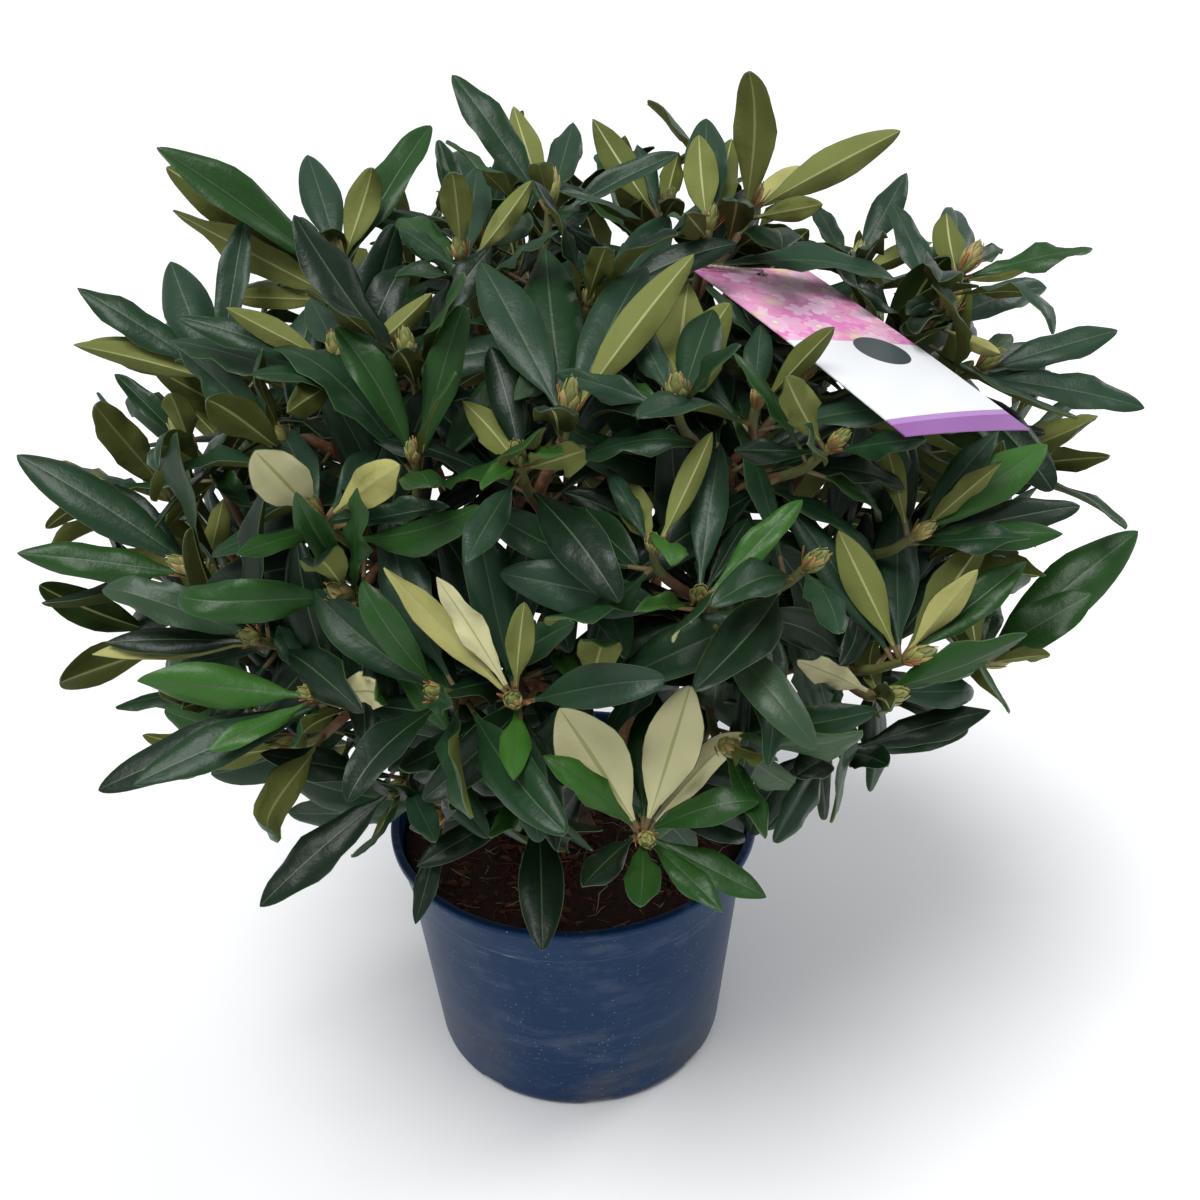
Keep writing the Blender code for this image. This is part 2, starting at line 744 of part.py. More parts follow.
def main():
    clear_scene()
    plastic = material("pot_plastic", *PLASTIC)
    peat = material("peat", *PEAT)
    bark = material("bark", *BARK)
    leafage = material("foliage", *FOLIAGE)
    card = material("label_card", *CARD)
    cord = material("tie_cord", *CORD)

    fixed = [make_pot(plastic), make_peat(peat)]
    verts, faces = trunk_shape(0.0)
    fixed.append(solid("trunk", verts, faces, bark, BARK_CREASE))
    lines = {}
    for row in MASSES:
        lines[row[0]] = bough_line(row, lines)
    fixed += make_boughs(lines, bark)
    fixed.append(make_label(card))
    fixed.append(make_tie(cord))
    taken = BVHTree.FromPolygons(*mesh_of(fixed))
    for index, row in enumerate(MASSES):
        make_mass(row, index, taken, leafage)


main()
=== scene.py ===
# A young large-leaved rhododendron in its navy nursery pot, with the plant label still tied on.
# The pot stands on the origin, +Z up; all sizes are in metres.  The sections follow the plant as it
# is put together: pot, peat, bare wood, leafy shoots, buds, label and tie, then the studio round it.
import math
import random

import bmesh
import bpy
import numpy as np
from mathutils import Matrix, Vector, noise
from mathutils.bvhtree import BVHTree


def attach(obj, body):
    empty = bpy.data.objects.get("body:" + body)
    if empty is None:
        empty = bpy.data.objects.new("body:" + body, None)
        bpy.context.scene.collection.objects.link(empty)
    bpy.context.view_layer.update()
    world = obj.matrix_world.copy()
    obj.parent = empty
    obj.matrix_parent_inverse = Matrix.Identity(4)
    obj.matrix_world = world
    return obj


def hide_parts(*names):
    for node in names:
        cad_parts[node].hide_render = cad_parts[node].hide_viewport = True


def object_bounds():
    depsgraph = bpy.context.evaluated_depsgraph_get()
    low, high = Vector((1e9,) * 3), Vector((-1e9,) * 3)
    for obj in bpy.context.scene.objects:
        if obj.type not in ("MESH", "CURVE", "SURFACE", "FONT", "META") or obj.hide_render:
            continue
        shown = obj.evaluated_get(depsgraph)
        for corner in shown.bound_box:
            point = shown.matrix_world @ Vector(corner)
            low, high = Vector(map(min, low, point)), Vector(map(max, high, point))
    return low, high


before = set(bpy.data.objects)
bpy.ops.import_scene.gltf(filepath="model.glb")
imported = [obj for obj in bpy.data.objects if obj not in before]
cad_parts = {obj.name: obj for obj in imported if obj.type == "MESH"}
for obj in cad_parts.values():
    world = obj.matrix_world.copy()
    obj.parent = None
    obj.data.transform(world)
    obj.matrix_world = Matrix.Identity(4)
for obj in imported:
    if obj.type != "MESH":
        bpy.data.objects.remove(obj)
cad_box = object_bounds()


# ---- The pot -----------------------------------------------------------------------------------
# A thin-walled five litre pot, injection moulded in navy polypropylene, with a turned-out lip, a
# stacking step below it and drain notches round its foot.  It is dusty, with pale scuffs where it
# has been stacked and a little soil dried on near the foot.
POT_HEIGHT = 0.162
RIM_RADIUS = 0.115
FOOT_RADIUS = 0.0923
WALL = 0.0018
LIP_WIDTH = 0.0035
LIP_DEPTH = 0.0045
BAND_DEPTH = 0.027
BAND_STEP = 0.0016
FOOT_ROUND = 0.007
POT_SIDES = 160
POT_OVAL = 0.0012
DRAINS = 8
DRAIN_FIRST = 0.12
DRAIN_SIZE = (0.018, 0.022, 0.012)
DRAIN_BEVEL = 0.0022
NAVY = (0.0040, 0.0245, 0.0760)
NAVY_FADED = (0.0085, 0.0345, 0.0920)
POT_DUST = (0.30, 0.33, 0.38)
POT_SOIL = (0.060, 0.050, 0.048)


def softened(corners, steps=4):
    """An outline of (radius, height, rounding) corners with each corner rounded off."""
    line = []
    for i, (radius, height, rounding) in enumerate(corners):
        here = Vector((radius, height))
        if rounding == 0.0:
            line.append(here)
            continue
        before = Vector(corners[i - 1][:2]) - here
        after = Vector(corners[i + 1][:2]) - here
        a = here + before.normalized() * min(rounding, before.length * 0.45)
        b = here + after.normalized() * min(rounding, after.length * 0.45)
        for k in range(steps + 1):
            t = k / steps
            line.append(a * (1 - t) ** 2 + here * 2 * t * (1 - t) + b * t * t)
    return line


def turned_points(line, sides):
    """The points of an outline turned round the Z axis; a point on the axis stays single."""
    verts = []
    rings = []
    for radius, height in line:
        first = len(verts)
        if radius == 0.0:
            verts.append(Vector((0.0, 0.0, height)))
            rings.append([first] * sides)
            continue
        for k in range(sides):
            turn = 2.0 * math.pi * k / sides
            verts.append(Vector((radius * math.cos(turn), radius * math.sin(turn), height)))
        rings.append(list(range(first, first + sides)))
    return verts, rings


def turned_faces(rings):
    faces = []
    for lower, upper in zip(rings, rings[1:]):
        for k in range(len(lower)):
            n = (k + 1) % len(lower)
            corners = [lower[k], lower[n], upper[n], upper[k]]
            faces.append([c for i, c in enumerate(corners) if c not in corners[:i]])
    return faces


def linked(name, data, finishes=()):
    """A new object of this data in the scene."""
    for finish in finishes:
        data.materials.append(finish)
    thing = bpy.data.objects.new(name, data)
    bpy.context.scene.collection.objects.link(thing)
    return thing


def shaped(name, verts, faces, finishes, sharp=None):
    """A new object of these points and faces, faces outward, smooth except at sharp edges."""
    mesh = bpy.data.meshes.new(name)
    mesh.from_pydata([tuple(v) for v in verts], [], faces)
    work = bmesh.new()
    work.from_mesh(mesh)
    bmesh.ops.recalc_face_normals(work, faces=work.faces)
    work.to_mesh(mesh)
    work.free()
    mesh.shade_smooth()
    if sharp:
        mesh.set_sharp_from_angle(angle=math.radians(sharp))
    return linked(name, mesh, finishes)


def cut_away(thing, cutter):
    """Takes the cutter's shape out of the object and removes the cutter."""
    change = thing.modifiers.new("cut", "BOOLEAN")
    change.operation = "DIFFERENCE"
    change.solver = "EXACT"
    change.object = cutter
    view = bpy.context.evaluated_depsgraph_get()
    view.update()
    made = bpy.data.meshes.new_from_object(thing.evaluated_get(view))
    thing.modifiers.clear()
    thing.data = made
    bpy.data.objects.remove(cutter, do_unlink=True)


class Finish:
    """A Principled material and the nodes that give it its look."""

    def __init__(self, name, **sockets):
        self.made = bpy.data.materials.new(name)
        self.made.use_nodes = True
        self.tree = self.made.node_tree
        self.shader = self.tree.nodes["Principled BSDF"]
        self.feed(self.shader, {key.replace("_", " "): value for key, value in sockets.items()})

    def feed(self, made, inputs):
        """Links each input of a node that is given a socket, and sets any other."""
        for key, value in inputs.items():
            socket = made.inputs[key]
            if isinstance(value, bpy.types.NodeSocket):
                self.tree.links.new(value, socket)
            else:
                socket.default_value = (*value, 1.0) if socket.type == "RGBA" else value

    def node(self, kind, inputs, **settings):
        made = self.tree.nodes.new("ShaderNode" + kind)
        for key, value in settings.items():
            setattr(made, key, value)
        self.feed(made, inputs)
        return made

    def place(self, stretch=(1.0, 1.0, 1.0)):
        """The place on the piece, stretched by these factors."""
        here = self.node("TexCoord", {}).outputs["Object"]
        return self.node("Mapping", {"Vector": here, "Scale": stretch}).outputs[0]

    def noise(self, scale, detail=2.0, roughness=0.5, where=None):
        return self.node("TexNoise", {
            "Vector": where or self.place(), "Scale": scale, "Detail": detail, "Roughness": roughness,
        }).outputs[0]

    def cloud(self, scale, low, high, detail=3.0, roughness=0.55, where=None):
        """Noise brought to 0 below low and 1 above high."""
        return self.between(self.noise(scale, detail, roughness, where), low, high)

    def between(self, value, low, high, first=0.0, last=1.0):
        """A value brought to first at low and last at high, and held there beyond them."""
        return self.node("MapRange", {0: value, 1: low, 2: high, 3: first, 4: last}).outputs[0]

    def sum(self, operation, a, b=0.0):
        return self.node("Math", {0: a, 1: b}, operation=operation).outputs[0]

    def plus(self, a, b):
        return self.sum("ADD", a, b)

    def less(self, a, b):
        return self.sum("SUBTRACT", a, b)

    def times(self, a, b):
        return self.sum("MULTIPLY", a, b)

    def mixed(self, share, a, b):
        """Two colours mixed by a share."""
        return self.node("Mix", {0: share, 6: a, 7: b}, data_type="RGBA").outputs[2]

    def colour(self, colour):
        self.feed(self.shader, {"Base Color": colour})

    def relief(self, height, depth, strength=1.0):
        """Lets a height pattern, up to depth deep, show as relief."""
        bump = self.node("Bump", {"Height": height, "Distance": depth, "Strength": strength})
        self.feed(self.shader, {"Normal": bump.outputs[0]})


def pot_finish():
    """Navy plastic with a dull haze, streaks of dust, scuffs at the step, pale specks and dry soil."""
    f = Finish("navy_plastic", Roughness=0.36, Specular_IOR_Level=0.10)
    level = f.node("SeparateXYZ", {0: f.place()}).outputs[2]
    colour = f.mixed(f.cloud(14.0, 0.35, 0.72), NAVY, NAVY_FADED)
    haze = f.cloud(26.0, 0.50, 0.85, 6.0, 0.7, f.place((1.0, 1.0, 2.5)))
    colour = f.mixed(f.times(haze, 0.22), colour, POT_DUST)
    streaks = f.cloud(38.0, 0.58, 0.70, 4.0, 0.7, f.place((1.0, 1.0, 16.0)))
    near_step = f.between(f.sum("ABSOLUTE", f.less(level, POT_HEIGHT - BAND_DEPTH)), 0.007, 0.0)
    scuffs = f.times(streaks, f.plus(f.times(near_step, 0.55), 0.07))
    colour = f.mixed(scuffs, colour, POT_DUST)
    grains = f.node("TexVoronoi", {"Vector": f.place(), "Scale": 270.0, "Randomness": 1.0})
    specks = f.times(f.between(grains.outputs["Distance"], 0.16, 0.08), f.cloud(31.0, 0.40, 0.60))
    colour = f.mixed(f.times(specks, 0.65), colour, POT_DUST)
    smear = f.times(f.cloud(20.0, 0.47, 0.66, 5.0, 0.65), f.between(level, 0.085, 0.0))
    f.colour(f.mixed(f.times(smear, 0.6), colour, POT_SOIL))
    f.feed(f.shader, {"Roughness": f.between(haze, 0.0, 1.0, 0.33, 0.52)})
    f.relief(f.plus(f.times(f.noise(900.0), 0.10), f.noise(34.0, 1.0)), 0.0009, 0.45)
    return f.made


def pot_section():
    """The inner and outer corners of the pot: radius, height and rounding."""
    band_top = RIM_RADIUS - LIP_WIDTH
    band_low = POT_HEIGHT - BAND_DEPTH
    slope = (band_top - BAND_STEP - FOOT_RADIUS) / (POT_HEIGHT - FOOT_ROUND)
    body_top = FOOT_RADIUS + slope * (band_low - FOOT_ROUND)
    outside = [
        (0.0, 0.0, 0.0),
        (FOOT_RADIUS * 0.55, 0.0, 0.0),
        (FOOT_RADIUS, 0.0, FOOT_ROUND),
        (body_top, band_low, 0.0012),
        (body_top + BAND_STEP, band_low + 0.0016, 0.0010),
        (band_top, POT_HEIGHT - LIP_DEPTH, 0.0008),
        (RIM_RADIUS, POT_HEIGHT - LIP_DEPTH + 0.0002, 0.0010),
        (RIM_RADIUS, POT_HEIGHT, 0.0018),
        (band_top - WALL, POT_HEIGHT, 0.0016),
    ]
    inside = [
        (body_top + BAND_STEP - WALL, band_low + 0.0012, 0.0010),
        (body_top - WALL, band_low, 0.0010),
        (FOOT_RADIUS - WALL, FOOT_ROUND, 0.0040),
        (FOOT_RADIUS - FOOT_ROUND * 0.5 - WALL, WALL, 0.0010),
        (0.0, WALL, 0.0),
    ]
    return outside, inside


def drain_cutter():
    """All the drain notches as one shape, each a block with softened edges."""
    whole = bpy.data.meshes.new("drains")
    work = bmesh.new()
    for k in range(DRAINS):
        turn = 2.0 * math.pi * (k + DRAIN_FIRST) / DRAINS
        out = Vector((math.sin(turn), -math.cos(turn), 0.0))
        place = Matrix.Translation(out * FOOT_RADIUS) @ Matrix.Rotation(turn, 4, "Z")
        one = bmesh.ops.create_cube(work, size=1.0, matrix=place @ Matrix.Diagonal((*DRAIN_SIZE, 1.0)))
        edges = list({e for v in one["verts"] for e in v.link_edges})
        bmesh.ops.bevel(work, geom=edges, offset=DRAIN_BEVEL, segments=3, profile=0.5, affect="EDGES")
    work.to_mesh(whole)
    work.free()
    return linked("drains", whole)


outside, inside = pot_section()
verts, rings = turned_points(softened(outside + inside), POT_SIDES)
for v in verts:
    v.xy *= 1.0 - POT_OVAL * (1.0 - math.cos(2.0 * math.atan2(v.y, v.x) + 0.6))
pot = shaped("nursery_pot", verts, turned_faces(rings), [pot_finish()], 50.0)
cut_away(pot, drain_cutter())
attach(pot, "root")
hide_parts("pot")


# ---- The peat ----------------------------------------------------------------------------------
# The pot is filled with damp dark red-brown peat and composted bark to just under its rim.  Its top
# is crumbly, with bark chips, orange-red fibres, a few pale straws and green specks lying on it.
PEAT_TOP = POT_HEIGHT - 0.012
PEAT_GAP = 0.0003
PEAT_RINGS = 34
PEAT_SIDES = 110
PEAT_MOUND = 0.0035
PEAT_CRUMB = 0.0030
CHIPS = 1000
FIBRES = 420
PEAT_DARK = (0.012, 0.0052, 0.0044)
PEAT_RED = (0.046, 0.0150, 0.0092)
CHIP_COLOURS = (
    (0.040, 0.015, 0.010), (0.075, 0.030, 0.018), (0.020, 0.010, 0.009), (0.095, 0.040, 0.022),
)
FIBRE_COLOURS = (
    (0.26, 0.070, 0.025), (0.14, 0.045, 0.022), (0.42, 0.33, 0.20), (0.10, 0.14, 0.035),
)
CHIP_SIDES = 6
FIBRE_SIDES = 4
BITS_SEED = 7


def peat_height(x, y):
    """How high the crumbly top stands at a place: a little mound at the stem, sunk at the wall."""
    out = math.hypot(x, y) / RIM_RADIUS
    crumb = noise.fractal(Vector((x * 62.0, y * 62.0, 4.7)), 0.9, 2.1, 4)
    lump = noise.noise(Vector((x * 24.0, y * 24.0, 9.1)))
    mound = PEAT_MOUND * math.exp(-(out / 0.3) ** 2) - 0.002 * max(0.0, out - 0.75) / 0.25
    return PEAT_TOP + mound + PEAT_CRUMB * (0.55 * crumb + 0.5 * lump) - 0.0008


def crumbly(name, colour, other, grain, depth):
    """A damp, rough earthy finish of two colours."""
    f = Finish(name, Roughness=0.92, Specular_IOR_Level=0.25)
    f.colour(f.mixed(f.cloud(grain, 0.36, 0.64, 5.0, 0.7), colour, other))
    f.relief(f.noise(grain * 1.7, 5.0, 0.7), depth)
    return f.made


wall_inside = [(radius - 1.5 * PEAT_GAP, height) for radius, height, _ in inside[:3]]
edge = wall_inside[0][0] + (PEAT_TOP - wall_inside[0][1]) * 0.02
outline = [(edge * i / PEAT_RINGS, PEAT_TOP) for i in range(PEAT_RINGS + 1)]
outline += [wall_inside[0], wall_inside[1], (wall_inside[2][0], wall_inside[2][1] + PEAT_GAP)]
outline += [(inside[3][0] - PEAT_GAP, WALL + PEAT_GAP), (0.0, WALL + PEAT_GAP)]
verts, rings = turned_points(outline, PEAT_SIDES)
for v in verts:
    if v.z == PEAT_TOP:
        v.z = peat_height(v.x, v.y)
soil = crumbly("peat", PEAT_DARK, PEAT_RED, 240.0, 0.0012)
peat = shaped("peat_filling", verts, turned_faces(rings), [soil])
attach(peat, "root")
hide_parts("peat")


def sleeve(rows, around):
    """The faces of a closed sleeve of points, rows of so many points each, both ends shut."""
    r, k = np.meshgrid(np.arange(rows - 1), np.arange(around), indexing="ij")
    n = (k + 1) % around
    sides = np.stack([r * around + k, r * around + n, (r + 1) * around + n, (r + 1) * around + k], -1)
    i = np.arange(around // 2 - 1)
    end = np.stack([i, around - 1 - i, around - 2 - i, i + 1], -1)
    last = end[:, ::-1] + (rows - 1) * around
    return np.concatenate([sides.reshape(-1, 4), end, last])


class Heap:
    """Many small things of one kind, gathered into one mesh of four-sided faces."""

    def __init__(self):
        self.points = []
        self.faces = []
        self.kinds = []
        self.count = 0

    def add(self, rows, kinds, faces=None):
        """A sleeve of rows of points; kinds is each face's finish by number, or one for all."""
        faces = sleeve(*rows.shape[:2]) if faces is None else faces
        self.points.append(rows.reshape(-1, 3))
        self.faces.append(faces + self.count)
        self.kinds.append(np.broadcast_to(kinds, len(faces)))
        self.count += rows.size // 3

    def piece(self, name, finishes, smooth=True):
        mesh = bpy.data.meshes.new(name)
        mesh.from_pydata(np.concatenate(self.points), [], np.concatenate(self.faces))
        mesh.polygons.foreach_set("material_index", np.concatenate(self.kinds).astype(np.int32))
        mesh.polygons.foreach_set("use_smooth", np.full(len(mesh.polygons), smooth))
        return linked(name, mesh, finishes)


def unit(v):
    return v / np.linalg.norm(v)


def round_limb(points, radii, around):
    """Rows of points round a line: an array of rows x around x 3."""
    points = np.asarray(points, float)
    ways = np.gradient(points, axis=0)
    across = None
    rows = []
    turns = 2.0 * np.pi * np.arange(around) / around
    for point, way, radius in zip(points, ways, radii):
        way = unit(way)
        if across is None:
            across = np.cross(way, (0.31, 0.17, 0.93) if abs(way[2]) < 0.8 else (1.0, 0.2, 0.0))
        across = unit(across - way * across.dot(way))
        other = np.cross(way, across)
        out = np.cos(turns)[:, None] * across + np.sin(turns)[:, None] * other
        rows.append(point + radius * out)
    return np.array(rows)


def peat_bits():
    """Bark chips as crumbs of irregular shape, and fibres as thin bent strands."""
    dice = random.Random(BITS_SEED)
    chips = Heap()
    fibres = Heap()
    for n in range(CHIPS + FIBRES):
        chip = n < CHIPS
        out = edge * math.sqrt(dice.uniform(0.01, 0.94))
        turn = dice.uniform(0.0, 2.0 * math.pi)
        x, y = out * math.cos(turn), out * math.sin(turn)
        heading = dice.uniform(0.0, 2.0 * math.pi)
        way = np.array((math.cos(heading), math.sin(heading), dice.uniform(-0.25, 0.25)))
        side = np.array((-way[1], way[0], dice.uniform(-0.4, 0.4)))
        length = dice.uniform(0.0016, 0.0078) if chip else dice.uniform(0.007, 0.024)
        start = np.array((x, y, peat_height(x, y) + (0.0004 if chip else 0.0008)))
        line = [start + way * length * t + side * length * dice.uniform(-0.12, 0.12)
                for t in (-0.5, -0.2, 0.2, 0.5)]
        if chip:
            wide = length * dice.uniform(0.13, 0.30)
            radii = [wide * dice.uniform(0.5, 0.8), wide, wide * dice.uniform(0.8, 1.1), wide * 0.5]
            rows = round_limb(line, radii, CHIP_SIDES)
            dents = np.array([dice.uniform(-1.0, 1.0) for _ in range(rows.size)]).reshape(rows.shape)
            rows += dents * wide * 0.22
            chips.add(rows, dice.choice((0, 0, 1, 1, 2, 2, 3)))
        else:
            line = [p + np.array((0.0, 0.0, peat_height(p[0], p[1]) - start[2] + 0.0012))
                    for p in line]
            thin = dice.uniform(0.00018, 0.00042)
            rows = round_limb(line, [thin * 0.6, thin, thin, thin * 0.5], FIBRE_SIDES)
            fibres.add(rows, dice.choice((0, 0, 0, 1, 1, 2, 2, 3)))
    return chips, fibres


chips, fibres = peat_bits()
chips = chips.piece("bark_chips", [
    crumbly(f"bark_chip_{i + 1}", colour, tuple(v * 1.8 for v in colour), 520.0, 0.0006)
    for i, colour in enumerate(CHIP_COLOURS)
], smooth=False)
fibres = fibres.piece("peat_fibres", [
    crumbly(f"peat_fibre_{i + 1}", colour, tuple(v * 0.6 for v in colour), 380.0, 0.0002)
    for i, colour in enumerate(FIBRE_COLOURS)
])
for piece in (chips, fibres):
    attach(piece, "root")


# ---- Trunk and boughs --------------------------------------------------------------------------
# The short woody stem forks low into bare boughs.  The wood is thin flaking bark, grey-brown at the
# foot and orange-brown further up, with shallow cracks along it and rings of old leaf scars.
TRUNK_HEIGHT = 0.062
TRUNK_RADIUS = 0.0100
TRUNK_TOP_RADIUS = 0.0082
FLARE = 0.0050
FLARE_HEIGHT = 0.014
TRUNK_LEAN = Vector((-0.006, 0.004, 0.0))
TRUNK_BURIED = 0.004
TRUNK_ROWS = 45
TRUNK_SIDES = 40
TRUNK_CROWNED = 0.94
BOUGH_RADIUS = 0.0055
BOUGH_TIP_RADIUS = 0.0032
BOUGH_THINNING = 0.82
BOUGH_STEPS = 5
BOUGH_SIDES = 16
BOUGH_SPRINGS = (0.0, 0.07, 0.14, 0.24, 0.40, 0.60, 0.80, 0.94, 1.0)
BARK_STEP = 0.0022
BARK_CRACKS = 0.0007
HEART = Vector((0.0, 0.0, 0.27))
STEM_LENGTH = 0.105
UP = Vector((0.0, 0.0, 1.0))

# Each mass of foliage: its name, what its bough springs from and how far along, and the way from the
# heart of the crown to its leading bud as bearing round from the front (-Y) towards +X and rise
# over level, both in degrees, and reach in metres.
MASSES = (
    ("front", "trunk", 0.52, -12, 31, 0.228),
    ("front_low", "front", 0.55, 11, 3, 0.188),
    ("front_high", "front", 0.30, -4, 57, 0.262),
    ("right_front", "trunk", 0.30, 46, 21, 0.236),
    ("front_right", "right_front", 0.40, 26, 36, 0.246),
    ("right_front_high", "right_front", 0.26, 36, 57, 0.262),
    ("right", "trunk", 0.66, 66, 34, 0.262),
    ("right_low", "right", 0.36, 78, 8, 0.258),
    ("right_high", "right", 0.46, 92, 43, 0.300),
    ("back_right", "trunk", 0.40, 118, 20, 0.250),
    ("back_right_high", "back_right", 0.36, 138, 50, 0.270),
    ("back", "trunk", 0.62, 178, 24, 0.250),
    ("back_high", "back", 0.34, -172, 58, 0.262),
    ("back_left", "trunk", 0.36, -122, 20, 0.250),
    ("back_left_high", "back_left", 0.36, -130, 50, 0.266),
    ("left", "trunk", 0.62, -84, 24, 0.252),
    ("left_high", "left", 0.40, -82, 52, 0.268),
    ("front_left_low", "trunk", 0.20, -44, 16, 0.226),
    ("front_left_high", "front_left_low", 0.38, -42, 44, 0.246),
    ("top", "trunk", 0.97, -60, 80, 0.267),
    ("top_right", "top", 0.34, 106, 69, 0.288),
)


def towards(bearing, rise):
    """The direction of a bearing round from the front and a rise over level, both in degrees."""
    b, r = math.radians(bearing), math.radians(rise)
    return Vector((math.cos(r) * math.sin(b), -math.cos(r) * math.cos(b), math.sin(r)))


def curve(start, way_out, end, way_in, steps):
    """A smooth bend from start to end that leaves along way_out and arrives along way_in."""
    pull = (end - start).length * 0.36
    a = start + way_out.normalized() * pull
    b = end - way_in.normalized() * pull
    points = []
    for i in range(steps + 1):
        t = i / steps
        s = 1.0 - t
        points.append(start * s ** 3 + a * 3 * s * s * t + b * 3 * s * t * t + end * t ** 3)
    return points


def along_line(points, share):
    """The point and the direction at a share of the way along a line of points."""
    place = share * (len(points) - 1)
    i = min(int(place), len(points) - 2)
    step = points[i + 1] - points[i]
    return points[i] + step * (place - i), step.normalized()


def trunk_line(shares):
    base = Vector((0.0, 0.0, PEAT_TOP + PEAT_GAP))
    return [base + TRUNK_LEAN * t + UP * TRUNK_HEIGHT * t for t in shares]


def tip_way(aim):
    """The way a bough points at its tip, and the stem of its foliage at its root."""
    return (aim * 0.8 + UP * 0.35).normalized()


def bough_line(row, lines):
    """The middle line and the two end radii of the bough that carries a mass."""
    parent, share, bearing, rise, reach = row[1:6]
    aim = towards(bearing, rise)
    tip = HEART + aim * (reach - STEM_LENGTH)
    if parent == "trunk":
        start, way = along_line(trunk_line(BOUGH_SPRINGS), share)
        out = Vector((aim.x, aim.y, 0.0)).normalized() * 0.8 + UP * (0.25 + aim.z)
        thick = BOUGH_RADIUS
    else:
        points, radii = lines[parent]
        start, way = along_line(points, share)
        out = way * 0.35 + (tip - start).normalized()
        thick = (radii[0] + (radii[1] - radii[0]) * share) * BOUGH_THINNING
    points = curve(start, out, tip, tip_way(aim), BOUGH_STEPS)
    return points, (thick, min(BOUGH_TIP_RADIUS, thick * 0.8))


def smoothed(points, step):
    """The same line with many even short steps, rounded at its joints."""
    points = np.asarray(points, float)
    gaps = np.r_[0.0, np.cumsum(np.linalg.norm(np.diff(points, axis=0), axis=1))]
    count = max(4, int(gaps[-1] / step) + 1)
    places = np.linspace(0.0, gaps[-1], count)
    line = np.stack([np.interp(places, gaps, points[:, i]) for i in range(3)], 1)
    soft = line.copy()
    for _ in range(3):
        soft[1:-1] = (soft[:-2] + 2.0 * soft[1:-1] + soft[2:]) / 4.0
    return soft


def barked(rows, centres, depth, seed):
    """Pushes rows of points in and out to cracks that run along the limb and rings across it."""
    for i, (row, centre) in enumerate(zip(rows, centres)):
        out = row - centre
        reach = np.linalg.norm(out, axis=1)
        for k, (point, far) in enumerate(zip(row, reach)):
            turn = 2.0 * math.pi * k / len(row)
            place = Vector((math.cos(turn) * 1.7, math.sin(turn) * 1.7, i * 0.16 + seed * 5.3))
            crack = abs(noise.noise(place * 1.6)) * 2.0 + 0.5 * noise.noise(place * 3.7)
            ring = 0.35 * noise.noise(Vector((seed, i * 0.62, turn * 0.4)))
            rows[i, k] = centre + out[k] / far * (far + depth * (crack - 0.55 + ring))
    return rows


def bark_finish(name, colour, other, flake):
    f = Finish(name, Roughness=0.86, Specular_IOR_Level=0.3)
    patches = f.mixed(f.cloud(160.0, 0.38, 0.62, 5.0, 0.7), colour, other)
    f.colour(f.mixed(f.times(f.cloud(420.0, 0.60, 0.66, 3.0, 0.6), 0.6), patches, flake))
    f.relief(f.noise(520.0, 5.0, 0.7), 0.0008)
    return f.made


bark_low = bark_finish(
    "bark_grey_brown", (0.060, 0.034, 0.022), (0.125, 0.078, 0.052), (0.22, 0.15, 0.10))
bark_high = bark_finish(
    "bark_orange_brown", (0.105, 0.046, 0.024), (0.20, 0.092, 0.045), (0.30, 0.17, 0.09))

rows = []
shares = [i / (TRUNK_ROWS - 1.0) for i in range(TRUNK_ROWS)]
centres = trunk_line(shares)
centres[0].z -= TRUNK_BURIED
for share, centre in zip(shares, centres):
    radius = TRUNK_RADIUS + (TRUNK_TOP_RADIUS - TRUNK_RADIUS) * share
    if share > TRUNK_CROWNED:
        radius *= 1.0 - 0.5 * ((share - TRUNK_CROWNED) / 0.06) ** 2
    spread = FLARE * max(0.0, 1.0 - share * TRUNK_HEIGHT / FLARE_HEIGHT) ** 2
    row = []
    for k in range(TRUNK_SIDES):
        turn = 2.0 * math.pi * k / TRUNK_SIDES
        lobes = 0.65 + 0.35 * math.cos(4.0 * turn + 0.8)
        r = radius * (1.0 + 0.05 * math.sin(2.0 * turn + 1.0)) + spread * lobes
        row.append(centre + Vector((r * math.cos(turn), r * math.sin(turn), 0.0)))
    rows.append(row)
trunk = Heap()
rows = barked(np.array(rows), np.array(centres), BARK_CRACKS, 3.1)
trunk.add(rows, 0)
trunk = trunk.piece("trunk_bark", [bark_low])
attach(trunk, "root")
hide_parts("trunk")

bough_lines = {}
boughs = Heap()
for index, row in enumerate(MASSES):
    bough_lines[row[0]] = bough_line(row, bough_lines)
    line, (thick, thin) = bough_lines[row[0]]
    line = smoothed(line, BARK_STEP)
    radii = np.linspace(thick, thin, len(line))
    radii[:4] *= (1.3, 1.2, 1.12, 1.05)
    rows = barked(round_limb(line, radii, BOUGH_SIDES), line, BARK_CRACKS * 0.55, index * 1.7)
    kinds = np.ones(len(sleeve(len(line), BOUGH_SIDES)), int)
    if row[1] == "trunk":
        kinds[:(len(line) // 4) * BOUGH_SIDES] = 0
    boughs.add(rows, kinds)
boughs = boughs.piece("bough_bark", [bark_low, bark_high])
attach(boughs, "root")
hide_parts(*["bough_" + row[0] for row in MASSES])


